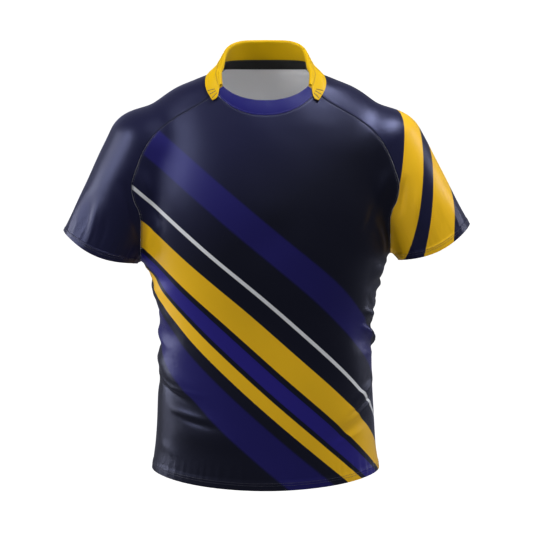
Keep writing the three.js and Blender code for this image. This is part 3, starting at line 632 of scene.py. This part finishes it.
def clothObject(name, grid, normals, outside, inside, flat, materials, sharpRim=True):
    # a closed thin shell: the outer face, the inner face and the rim between them
    rows, columns = grid.shape[:2]
    outer = grid + normals * np.asarray(outside)[..., None]
    inner = grid - normals * np.asarray(inside)[..., None]
    places = np.concatenate([outer.reshape(-1, 3), inner.reshape(-1, 3)]) * 0.001
    index = np.arange(rows * columns).reshape(rows, columns)
    a, b = index[:-1, :-1].ravel(), index[:-1, 1:].ravel()
    c, d = index[1:, 1:].ravel(), index[1:, :-1].ravel()
    shift = rows * columns
    loop = rimLoop(rows, columns)
    here = index[loop[:, 0], loop[:, 1]]
    ahead = np.roll(here, -1)
    faces = np.concatenate([
        np.stack([a, b, c, d], -1),
        np.stack([a, d, c, b], -1) + shift,
        np.stack([here, here + shift, ahead + shift, ahead], -1),
    ])
    mesh = bpy.data.meshes.new(name)
    mesh.from_pydata(places.tolist(), [], faces.tolist())
    inFaces = len(a)
    slots = np.zeros(len(faces), int)
    slots[inFaces:2 * inFaces] = 1 if len(materials) > 1 else 0
    mesh.polygons.foreach_set("material_index", slots)
    mesh.polygons.foreach_set("use_smooth", np.ones(len(faces), bool))
    layer = mesh.uv_layers.new(name="flat")
    both = np.concatenate([flat.reshape(-1, 2), flat.reshape(-1, 2)])
    layer.data.foreach_set("uv", both[faces.ravel()].ravel())
    if sharpRim:
        edges = np.zeros(len(mesh.edges) * 2, int)
        mesh.edges.foreach_get("vertices", edges)
        edges = edges.reshape(-1, 2)
        rim = set(map(tuple, np.sort(np.stack([here, ahead], -1), 1).tolist()))
        rim |= {(p + shift, q + shift) for p, q in rim}
        sharp = np.array([tuple(sorted(e)) in rim for e in edges.tolist()])
        attribute = mesh.attributes.new("sharp_edge", "BOOLEAN", "EDGE")
        attribute.data.foreach_set("value", sharp)
    mesh.validate()
    mesh.update()
    obj = bpy.data.objects.new(name, mesh)
    bpy.context.scene.collection.objects.link(obj)
    for m in materials:
        mesh.materials.append(m)
    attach(obj, "root")
    return obj


def flatSize(grid):
    fromBottom, fromTop, fromFirst, fromLast = edgeDistances(grid)
    a, b = grid[:-1, :-1], grid[:-1, 1:]
    c, d = grid[1:, 1:], grid[1:, :-1]
    area = np.linalg.norm(np.cross(c - a, d - b), axis=-1).sum() / 2
    return fromFirst[:, -1].max() / 1000, fromBottom[-1].max() / 1000, area / 1e6


# materials

def newMaterial(name):
    m = bpy.data.materials.new(name)
    m.use_nodes = True
    m.node_tree.nodes.clear()
    tree = m.node_tree
    out = tree.nodes.new("ShaderNodeOutputMaterial")
    shader = tree.nodes.new("ShaderNodeBsdfPrincipled")
    tree.links.new(shader.outputs[0], out.inputs[0])
    return m, tree, shader


def addMath(tree, kind, a, b=None, c=None):
    n = tree.nodes.new("ShaderNodeMath")
    n.operation = kind
    for socket, value in zip(n.inputs, (a, b, c)):
        if value is None:
            continue
        if hasattr(value, "links"):
            tree.links.new(value, socket)
        else:
            socket.default_value = value
    return n.outputs[0]


def addMix(tree, share, a, b):
    n = tree.nodes.new("ShaderNodeMix")
    n.data_type = "RGBA"
    for socket, value in ((n.inputs[0], share), (n.inputs[6], a), (n.inputs[7], b)):
        if hasattr(value, "links"):
            tree.links.new(value, socket)
        else:
            socket.default_value = value
    return n.outputs[2]


def addNoise(tree, place, scale, detail=2.0, rough=0.5):
    n = tree.nodes.new("ShaderNodeTexNoise")
    n.inputs["Scale"].default_value = scale
    n.inputs["Detail"].default_value = detail
    n.inputs["Roughness"].default_value = rough
    tree.links.new(place, n.inputs["Vector"])
    return n.outputs["Fac"]


def shade(r, g, b):
    # screen colour 0 to 255 into scene colour
    return tuple(((c / 255 + 0.055) / 1.055) ** 2.4 if c > 10 else c / 3294 for c in (r, g, b)) + (1.0,)


def clothPlaces(tree):
    uv = tree.nodes.new("ShaderNodeUVMap")
    uv.uv_map = "flat"
    parts = tree.nodes.new("ShaderNodeSeparateXYZ")
    tree.links.new(uv.outputs[0], parts.inputs[0])
    coords = tree.nodes.new("ShaderNodeTexCoord")
    return parts.outputs[0], parts.outputs[1], coords.outputs["Object"]


def knitHeight(tree, u, v, wale, course):
    # columns of loops: a rounded rib across, broken by the slanted legs of each loop
    across = addMath(tree, "MULTIPLY", u, 2 * math.pi / wale)
    down = addMath(tree, "MULTIPLY", v, 2 * math.pi / course)
    rib = addMath(tree, "COSINE", across)
    slant = addMath(tree, "MULTIPLY", addMath(tree, "ABSOLUTE", addMath(tree, "SINE", addMath(tree, "MULTIPLY", across, 0.5))), 2.2)
    legs = addMath(tree, "SINE", addMath(tree, "ADD", down, slant))
    return addMath(tree, "ADD", addMath(tree, "MULTIPLY", rib, 0.6), addMath(tree, "MULTIPLY", legs, 0.4))


def addBump(tree, shader, height, strength, distance):
    n = tree.nodes.new("ShaderNodeBump")
    n.inputs["Strength"].default_value = strength
    n.inputs["Distance"].default_value = distance
    tree.links.new(height, n.inputs["Height"])
    tree.links.new(n.outputs[0], shader.inputs["Normal"])


def stripeMask(tree, across, centre, width, soft):
    # 1 inside a stripe of that width, with soft edges
    off = addMath(tree, "ABSOLUTE", addMath(tree, "SUBTRACT", across, centre))
    fall = addMath(tree, "DIVIDE", addMath(tree, "SUBTRACT", width / 2, off), soft)
    n = addMath(tree, "ADD", fall, 0.5)
    tree.nodes[-1].use_clamp = True
    return n


def jersey(name, base, stripes=(), sheen=0.25, rough=0.37, tint=(0.5, 0.55, 1.0, 1.0), deep=None, gloss=0.5):
    # printed polyester jersey; stripes is a list of (direction, centre, width, soft, colour, strength)
    # and deep a darker colour that the ground runs into from the right shoulder down
    m, tree, shader = newMaterial(name)
    u, v, place = clothPlaces(tree)
    wide = addNoise(tree, place, 5.0, 3.0)
    fine = addNoise(tree, place, 900.0, 1.0)
    colour = addMix(tree, wide, tuple(c * 0.86 for c in base[:3]) + (1,), tuple(min(c * 1.14, 1) for c in base[:3]) + (1,))
    split = tree.nodes.new("ShaderNodeSeparateXYZ")
    tree.links.new(place, split.inputs[0])
    if deep:
        along = addMath(tree, "MULTIPLY", split.outputs[0], groundFade["across"])
        along = addMath(tree, "MULTIPLY_ADD", split.outputs[2], -groundFade["down"], along)
        along = addMath(tree, "DIVIDE", addMath(tree, "SUBTRACT", along, groundFade["start"]), groundFade["length"])
        tree.nodes[-1].use_clamp = True
        colour = addMix(tree, along, colour, deep)
    for way, centre, width, soft, ink, strength in stripes:
        # two numbers run over the flat cloth, three through the worn shape
        across = 0.0
        for part, amount in zip((u, v) if len(way) == 2 else split.outputs, way):
            across = addMath(tree, "MULTIPLY_ADD", part, amount, across)
        mask = addMath(tree, "MULTIPLY", stripeMask(tree, across, centre, width, soft), strength)
        inked = addMix(tree, wide, tuple(c * 0.93 for c in ink[:3]) + (1,), tuple(min(c * 1.06, 1) for c in ink[:3]) + (1,))
        colour = addMix(tree, mask, colour, inked)
    # painted shade: the small open loops of the knit, low in the knit height, are darkened slightly
    knit = knitHeight(tree, u, v, 0.00105, 0.00085)
    pits = addMath(tree, "MULTIPLY", addMath(tree, "SUBTRACT", 1.0, knit), 0.045)
    colour = addMix(tree, pits, colour, tuple(c * 0.3 for c in base[:3]) + (1,))
    # painted shade where the cloth turns in at a seam and at the collar strip's step: the colour is darkened there
    # and the roughness rises
    seam = tree.nodes.new("ShaderNodeAttribute")
    seam.attribute_name = "paintedShade"
    shadow = addMath(tree, "MULTIPLY", seam.outputs["Fac"], 0.8)
    colour = addMix(tree, shadow, colour, (0.002, 0.002, 0.004, 1))
    tree.links.new(colour, shader.inputs["Base Color"])
    roughness = addMath(tree, "ADD", addMath(tree, "MULTIPLY", fine, 0.08), rough - 0.04)
    roughness = addMath(tree, "MULTIPLY_ADD", shadow, 0.5, roughness)
    tree.links.new(roughness, shader.inputs["Roughness"])
    shader.inputs["Specular IOR Level"].default_value = gloss
    shader.inputs["Specular Tint"].default_value = tint
    shader.inputs["Sheen Weight"].default_value = sheen
    shader.inputs["Sheen Roughness"].default_value = 0.38
    shader.inputs["Sheen Tint"].default_value = tint
    addBump(tree, shader, addMath(tree, "ADD", knit, addMath(tree, "MULTIPLY", fine, 0.5)), 0.22, 0.00012)
    return m


def threadMaterial(name, base):
    m, tree, shader = newMaterial(name)
    coords = tree.nodes.new("ShaderNodeTexCoord")
    fine = addNoise(tree, coords.outputs["Object"], 1500.0, 2.0)
    colour = addMix(tree, fine, tuple(c * 0.75 for c in base[:3]) + (1,), tuple(min(c * 1.2, 1) for c in base[:3]) + (1,))
    tree.links.new(colour, shader.inputs["Base Color"])
    shader.inputs["Roughness"].default_value = 0.5
    shader.inputs["Sheen Weight"].default_value = 0.3
    addBump(tree, shader, fine, 0.3, 0.0001)
    return m


navy = shade(17, 17, 44)
black = shade(7, 7, 14)
royal = shade(34, 26, 118)
yellow = shade(234, 183, 6)
white = shade(222, 224, 228)
paleInside = shade(240, 240, 243)

# the front carries a straight sash of even stripes falling to the wearer's left
sashWay = (math.sin(math.radians(40)), math.cos(math.radians(40)))
sash = [
    (sashWay, -0.185, 0.046, 0.004, royal, 0.5),
    (sashWay, -0.262, 0.006, 0.0008, white, 1.0),
    (sashWay, -0.318, 0.042, 0.0008, yellow, 1.0),
    (sashWay, -0.362, 0.026, 0.0008, royal, 1.0),
    (sashWay, -0.394, 0.022, 0.0008, yellow, 1.0),
    (sashWay, -0.452, 0.054, 0.004, royal, 0.5),
]
backBars = [
    (sashWay, -0.200, 0.050, 0.02, royal, 0.3),
    (sashWay, -0.420, 0.060, 0.02, royal, 0.3),
]
# two plain bands round the wearer's left sleeve, cut straight through it on the slant
bandWay = (1.0, 0.3, -0.15)
sleeveBands = [
    (bandWay, 0.245, 0.039, 0.0008, yellow, 1.0),
    (bandWay, 0.3085, 0.045, 0.0008, yellow, 1.0),
]

# how the navy ground runs into black: the way it goes, where it starts and how long it takes
groundFade = dict(across=0.55, down=0.75, start=0.03, length=0.13)

print("making the materials")
frontCloth = jersey("frontJersey", navy, sash, sheen=0.12, deep=black)
backCloth = jersey("backJersey", navy, backBars, sheen=0.12, deep=black)
leftCloth = jersey("leftSleeveJersey", navy, sleeveBands, sheen=0.12)
rightCloth = jersey("rightSleeveJersey", navy, sheen=0.18)
insideCloth = jersey("insideJersey", paleInside, sheen=0.15, rough=0.7, tint=(1, 1, 1, 1))
bandCloth = jersey("bandJersey", shade(17, 13, 86), sheen=0.05, rough=0.4, gloss=0.25)
collarCloth = jersey("collarRib", shade(204, 163, 3), sheen=0.05, rough=0.5, tint=(1.0, 0.88, 0.45, 1.0), gloss=0.25)
tapeCloth = jersey("tapeTwill", shade(6, 6, 8), sheen=0.02, rough=0.8, tint=(1, 1, 1, 1))
navyThread = threadMaterial("navyThread", shade(30, 30, 58))
darkThread = threadMaterial("darkThread", shade(44, 36, 26))
goldThread = threadMaterial("goldThread", shade(196, 152, 22))
blueThread = threadMaterial("blueThread", shade(40, 34, 118))


# panels

def roundBody(grid):
    # distance round the body from the middle of the panel, as on an even oval
    steps = np.linspace(-math.pi, math.pi, 721)
    pace = np.hypot(oval["half"] * np.cos(steps), oval["deep"] * np.sin(steps)) * (steps[1] - steps[0])
    length = np.cumsum(pace)
    swing = np.arctan2(grid[..., 0] / oval["half"], np.abs(grid[..., 1] - 5) / oval["deep"])
    arc = np.interp(swing, steps, length - np.interp(0, steps, length))
    # under the arms the cloth turns in sharply, so up there the print runs straight across
    low = smoothStep(-grid[..., 2], oval["top"], oval["bottom"])
    return grid[..., 0] * (1 - low) + arc * low


def panelObject(name, grid, hem, cloth, node, vFromHem):
    normals = clothNormals(grid)
    drawInRim(grid, normals, 0.15)
    fromBottom, fromTop, fromFirst, fromLast = edgeDistances(grid)
    outside = np.full(grid.shape[:2], body["outside"])
    # the turned-up hem is double, seams sink a little
    outside += hem["hemStep"] * (1 - smoothStep(fromBottom, hem["hemDeep"] - 0.6, hem["hemDeep"] + 1.6))
    seam = np.minimum(np.minimum(fromFirst, fromLast), fromTop)
    outside -= 0.45 * np.exp(-(seam / 1.3) ** 2)
    outside += 0.05 * np.exp(-((seam - 4.0) / 2.2) ** 2)
    inside = np.full(grid.shape[:2], body["inside"])
    middle = grid.shape[1] // 2
    if vFromHem:
        u, v = fromFirst - fromFirst[:, middle:middle + 1], fromBottom
    else:
        u, v = roundBody(grid), grid[..., 2]
    flat = np.stack([u, v], -1) / 1000
    obj = clothObject(name, grid, normals, outside, inside, flat, [cloth, insideCloth])
    # painted shade along the seams, on the outer and the inner face alike
    dark = obj.data.attributes.new("paintedShade", "FLOAT", "POINT")
    shadow = np.exp(-(seam / 1.6) ** 2).ravel()
    dark.data.foreach_set("value", np.concatenate([shadow, shadow]).astype(np.float32))
    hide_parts(node)
    return dict(obj=obj, grid=grid + normals * outside[..., None], normals=normals,
                distances=edgeDistances(grid), size=flatSize(grid))


print("laying the body panels")
front = panelObject("frontPanel", bodyPanel(-1), body, frontCloth, "front", False)
back = panelObject("backPanel", bodyPanel(1), body, backCloth, "back", False)
print("laying the sleeves")
leftSleeve = panelObject("leftSleeve", sleevePanel(1), sleeve, leftCloth, "sleeve_left", True)
rightSleeve = panelObject("rightSleeve", sleevePanel(-1), sleeve, rightCloth, "sleeve_right", True)


# collar, band and tape

def neckFrames(turn):
    seam = neckPoints(turn)
    tangent = unit(neckPoints(turn + 1.0) - neckPoints(turn - 1.0))
    normal = clothNormals(seam)
    up = unit(np.cross(normal, tangent))
    outward = unit(seam * (1, 1, 0))
    return seam, tangent, normal, up, outward


def standPoints(frames, rise, lean):
    seam, tangent, normal, up, outward = frames
    foot = seam - normal * 0.75 + up * 0.1
    top = foot - outward * lean[:, None]
    top[:, 2] = foot[:, 2] + rise
    return foot, top


def neckObject(name, sections, wall, footNormals, materials, node, strip=None):
    grid = np.stack(sections, 0)
    normals = gridNormals(grid)
    if footNormals is not None:
        normals[0] = footNormals
    drawInRim(grid, normals, 0.15)
    fromBottom, fromTop, fromFirst, fromLast = edgeDistances(grid)
    flat = np.stack([fromFirst, fromBottom], -1) / 1000
    half = np.full(grid.shape[:2], wall / 2)
    under = half.copy()
    if strip:
        # a doubled strip laid over the fold makes a step on the leaf
        fold, wide, deep = strip
        past = fromBottom - fromBottom[fold]
        under += deep * smoothStep(past, -5, -1) * (1 - smoothStep(past, wide - 0.7, wide + 0.5))
    obj = clothObject(name, grid, normals, half, under, flat, materials)
    if strip:
        # painted shade just past the edge of the doubled strip on the leaf
        dark = obj.data.attributes.new("paintedShade", "FLOAT", "POINT")
        shadow = 0.75 * np.exp(-((past - wide - 0.6) / 0.7) ** 2).ravel()
        dark.data.foreach_set("value", np.concatenate([shadow, shadow]).astype(np.float32))
    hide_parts(node)
    fromFold = fromBottom - fromBottom[strip[0] if strip else 0]
    return dict(obj=obj, grid=grid, normals=normals, half=wall / 2,
                distances=(*edgeDistances(grid), fromFold), size=flatSize(grid))


print("folding the collar")
turns = np.linspace(body["frontCorner"], 360 - body["frontCorner"], collar["columns"] + 1)
frames = neckFrames(turns)
seam, tangent, normal, up, outward = frames
foldZ, lean, spread, swept, rounded = readTable(collarSections, fromFront(turns)).T
foot, top = standPoints(frames, foldZ - collar["fold"] - seam[:, 2], lean)
sections = [foot + (top - foot) * p for p in np.linspace(0, 1, 12)]
middle = top + outward * collar["fold"]
for angle in np.radians(np.arange(15, 181, 15)):
    lift = np.array([0, 0, collar["fold"] * math.sin(angle)])
    sections.append(middle - outward * collar["fold"] * math.cos(angle) + lift)
ahead = neckFrames(turns - np.where(turns < 180, swept, -swept))
forward = tangent * np.where(turns < 180, -rounded, rounded)[:, None]
edge = onCloth(ahead[0] - ahead[3] * spread[:, None])
edge += clothNormals(edge) * (collar["clear"] + 0.9)
leafTop = sections[-1]
for p in np.linspace(0, 1, 33)[1:]:
    bow = math.sin(math.pi * p)
    sections.append(leafTop + (edge - leafTop) * p + (outward * collar["bulge"] + forward) * bow)
collarPiece = neckObject("collarLeaf", sections, collar["wall"], normal, [collarCloth], "collar",
                          strip=(18, 8.5, 0.55))

print("setting the neck band and tape")
turns = np.linspace(-band["endTurn"], band["endTurn"], band["columns"] + 1)
frames = neckFrames(turns)
rise, lean = readTable(bandSections, np.abs(turns)).T
foot, top = standPoints(frames, rise, lean)
sections = []
for p in np.linspace(0, 1, 16):
    sections.append(foot + (top - foot) * p + frames[4] * 0.8 * math.sin(math.pi * p))
bandPiece = neckObject("neckBand", sections, band["wall"], frames[2], [bandCloth], "neck_band")

turns = np.linspace(tape["startTurn"], 360 - tape["startTurn"], tape["columns"] + 1)
frames = neckFrames(turns)
seam, tangent, normal, up, outward = frames
foldZ, lean = readTable(collarSections, fromFront(turns)).T[:2]
foot, top = standPoints(frames, foldZ - collar["fold"] - seam[:, 2], lean)
standUp = unit(top - foot)
standNormal = unit(np.cross(tangent, standUp))
away = 0.35 + 0.5
low = onCloth(seam - up * tape["below"])
low -= clothNormals(low) * (1.5 + away)
ridge = seam - unit(normal + standNormal) * (1.5 + away + 0.3)
high = foot + standUp * tape["above"] - standNormal * (0.9 + away)
lowerPart = [low + (ridge - low) * p for p in np.linspace(0, 1, 7)]
upperPart = [ridge + (high - ridge) * p for p in np.linspace(0, 1, 4)[1:]]
tapePiece = neckObject("neckTape", lowerPart + upperPart, tape["wall"], None, [tapeCloth], "neck_tape")


# stitching

def lineAcross(piece, edge, distance, start=0, end=None, lift=0.0):
    # points on the outer face at a set distance from one edge of a panel, or one for each point
    grid, normals = piece["grid"], piece["normals"]
    order = dict(bottom=0, top=1, first=2, last=3, fold=4)[edge]
    d = piece["distances"][order]
    if edge in ("first", "last"):
        grid, normals, d = grid.swapaxes(0, 1), normals.swapaxes(0, 1), d.swapaxes(0, 1)
    if edge in ("top", "last"):
        grid, normals, d = grid[::-1], normals[::-1], d[::-1]
    points, ups = [], []
    columns = range(d.shape[1])[start:end]
    for column, wanted in zip(columns, np.broadcast_to(distance, len(columns))):
        i = min(max(int(np.searchsorted(d[:, column], wanted)), 1), len(d) - 1)
        span = d[i, column] - d[i - 1, column]
        t = min(max((wanted - d[i - 1, column]) / max(span, 1e-6), 0), 1)
        points.append(grid[i - 1, column] * (1 - t) + grid[i, column] * t)
        ups.append(normals[i - 1, column] * (1 - t) + normals[i, column] * t)
    ups = unit(np.array(ups))
    return np.array(points) + ups * lift, ups


# one stitch, modelled once and repeated
bpy.ops.object.select_all(action="DESELECT")
bpy.ops.mesh.primitive_uv_sphere_add(segments=6, ring_count=4, radius=1.0, rotation=(0, math.pi / 2, 0))
oneStitch = bpy.context.active_object
bpy.ops.object.transform_apply(location=False, rotation=True, scale=False)
stitchPoints = np.array([v.co[:] for v in oneStitch.data.vertices])
stitchFaces = [tuple(f.vertices) for f in oneStitch.data.polygons]
bpy.data.objects.remove(oneStitch, do_unlink=True)


def stitchObject(name, lines, material, size=thread):
    places, faces = [], []
    for points, ups in lines:
        steps = np.linalg.norm(np.diff(points, axis=0), axis=1)
        length = np.concatenate([[0], np.cumsum(steps)])
        at = np.arange(size["pitch"] / 2, length[-1], size["pitch"])
        centre = np.stack([np.interp(at, length, points[:, k]) for k in range(3)], -1)
        ahead = np.stack([np.interp(at + 0.5, length, points[:, k]) for k in range(3)], -1)
        behind = np.stack([np.interp(at - 0.5, length, points[:, k]) for k in range(3)], -1)
        upAt = unit(np.stack([np.interp(at, length, ups[:, k]) for k in range(3)], -1))
        way = unit(ahead - behind)
        sideways = unit(np.cross(upAt, way))
        upAt = np.cross(way, sideways)
        for c, w, s, n in zip(centre, way, sideways, upAt):
            shape = (stitchPoints[:, :1] * w * size["length"] / 2
                     + stitchPoints[:, 1:2] * s * size["radius"] * 1.5
                     + stitchPoints[:, 2:] * n * size["radius"])
            first = len(places)
            places.extend((c + shape) * 0.001)
            faces.extend(tuple(first + i for i in f) for f in stitchFaces)
    mesh = bpy.data.meshes.new(name)
    mesh.from_pydata([tuple(p) for p in places], [], faces)
    mesh.polygons.foreach_set("use_smooth", np.ones(len(faces), bool))
    mesh.materials.append(material)
    obj = bpy.data.objects.new(name, mesh)
    bpy.context.scene.collection.objects.link(obj)
    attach(obj, "root")
    return obj


print("stitching")
lowRows = 14 * body["rowsPerCell"]
cuffRows = 2 * sleeve["rowsPerCell"]
hemLines, raglanLines, cuffLines = [], [], []
for piece in (front, back):
    for distance in (body["hemDeep"] - 1.6, body["hemDeep"] - 5.4):
        hemLines.append(lineAcross(piece, "bottom", distance, lift=0.05))
    for edge in ("first", "last"):
        raglanLines.append(lineAcross(piece, edge, 2.6, start=lowRows + 6, lift=0.05))
for piece in (leftSleeve, rightSleeve):
    for distance in (sleeve["hemDeep"] - 1.6, sleeve["hemDeep"] - 5.0):
        cuffLines.append(lineAcross(piece, "bottom", distance, lift=0.05))
stitchObject("hemStitches", hemLines, navyThread)
stitchObject("raglanStitches", raglanLines, navyThread)
stitchObject("cuffStitches", cuffLines, navyThread)


def wallLine(piece, edge, distance, face, start=0, end=None):
    # the same on a collar piece; face is 1 for its outer side and -1 for its inner side
    points, ups = lineAcross(piece, edge, distance, start, end)
    return points + ups * face * (piece["half"] + 0.05), ups * face


leafLine = wallLine(collarPiece, "top", 4.5, -1)
stripLine = wallLine(collarPiece, "fold", 9.6, -1)
stitchObject("collarStitches", [leafLine, stripLine], goldThread)
bandLine = wallLine(bandPiece, "bottom", 2.2, 1)
stitchObject("bandStitches", [bandLine], blueThread)


def straightLine(piece, edge, distance, start, end):
    # pulls the middle of a line over a collar piece straight between its two ends
    points, ups = lineAcross(piece, edge, distance, start, end)
    side = unit(np.cross(points[-1] - points[0], ups.mean(0)))
    for again in range(4):
        beside = lineAcross(piece, edge, distance + 0.5, start, end)[0]
        distance = distance - (points - points[0]) @ side / ((beside - points) @ side / 0.5)
        points, ups = lineAcross(piece, edge, distance, start, end)
    return points - ups * (piece["half"] + 0.05), -ups


# three bar tacks on each front end of the leaf
tackLines = []
for edge in ("first", "last"):
    for nearFold, nearEdge in ((4, 4), (9, 12), (13, 20)):
        distance = np.linspace(nearFold, nearEdge, 17)
        tackLines.append(straightLine(collarPiece, edge, distance, -20, -3))
stitchObject("leafTacks", tackLines, darkThread, tackThread)

# floor, wall and ceiling of one round paper room, far enough away to take no shadow
print("setting the stage")
bpy.ops.object.select_all(action="DESELECT")
bpy.ops.mesh.primitive_cylinder_add(vertices=96, radius=8, depth=14, location=(0, 0, 2.4))
room = bpy.context.active_object
room.name = "paperRoom"
bend = room.modifiers.new("bend", "BEVEL")
bend.width = 3.0
bend.segments = 16
bpy.ops.object.modifier_apply(modifier="bend")
bpy.ops.object.shade_smooth()
paper, tree, shader = newMaterial("backdropPaper")
coords = tree.nodes.new("ShaderNodeTexCoord")
grain = addNoise(tree, coords.outputs["Object"], 30.0)
tree.links.new(addMix(tree, grain, (0.9, 0.9, 0.9, 1), (0.93, 0.93, 0.93, 1)), shader.inputs["Base Color"])
shader.inputs["Roughness"].default_value = 0.9
shader.inputs["Emission Color"].default_value = (1, 1, 1, 1)
shader.inputs["Emission Strength"].default_value = 0.9
room.data.materials.append(paper)
# the paper is white to look at but throws no light back at the shirt
room.visible_diffuse = False
room.visible_glossy = False


def addLight(name, place, aim, size, power, shine=True):
    bpy.ops.object.light_add(type="AREA", location=place)
    lamp = bpy.context.active_object
    lamp.name = name
    lamp.visible_glossy = shine
    lamp.data.shape = "RECTANGLE"
    lamp.data.size, lamp.data.size_y = size
    lamp.data.energy = power
    lamp.rotation_euler = (Vector(aim) - Vector(place)).to_track_quat("-Z", "Y").to_euler()


addLight("keyLight", (-2.6, -1.4, 1.25), (0, 0, -0.25), (1.1, 1.4), 56)
addLight("fillLight", (0.5, -3.4, 0.9), (0, 0, -0.3), (1.2, 1.2), 2)
addLight("leftEdgeLight", (-2.2, 0.2, 0.0), (-0.1, 0, -0.3), (0.6, 1.6), 26)
addLight("rightEdgeLight", (2.2, 0.5, 0.2), (0.1, 0, -0.3), (0.5, 1.6), 14)
addLight("lowLight", (0, 0.1, -1.5), (0, 0, 0), (1.6, 1.2), 12, shine=False)
addLight("topLight", (0.7, -0.5, 1.6), (0.15, 0, 0), (1.0, 0.6), 42)

world = bpy.data.worlds.new("studio")
bpy.context.scene.world = world
world.use_nodes = True
world.node_tree.nodes["Background"].inputs[0].default_value = (1, 1, 1, 1)
world.node_tree.nodes["Background"].inputs[1].default_value = 0.16

bpy.ops.object.camera_add(location=(0, -3.0, 0.0714))
camera = bpy.context.active_object
camera.rotation_euler = (Vector((0, 0, -0.297)) - camera.location).to_track_quat("-Z", "Y").to_euler()
camera.data.lens = 120.1
camera.data.sensor_width = 36
camera.data.shift_x = 0.0019
bpy.context.scene.camera = camera
bpy.context.scene.view_settings.view_transform = "Standard"
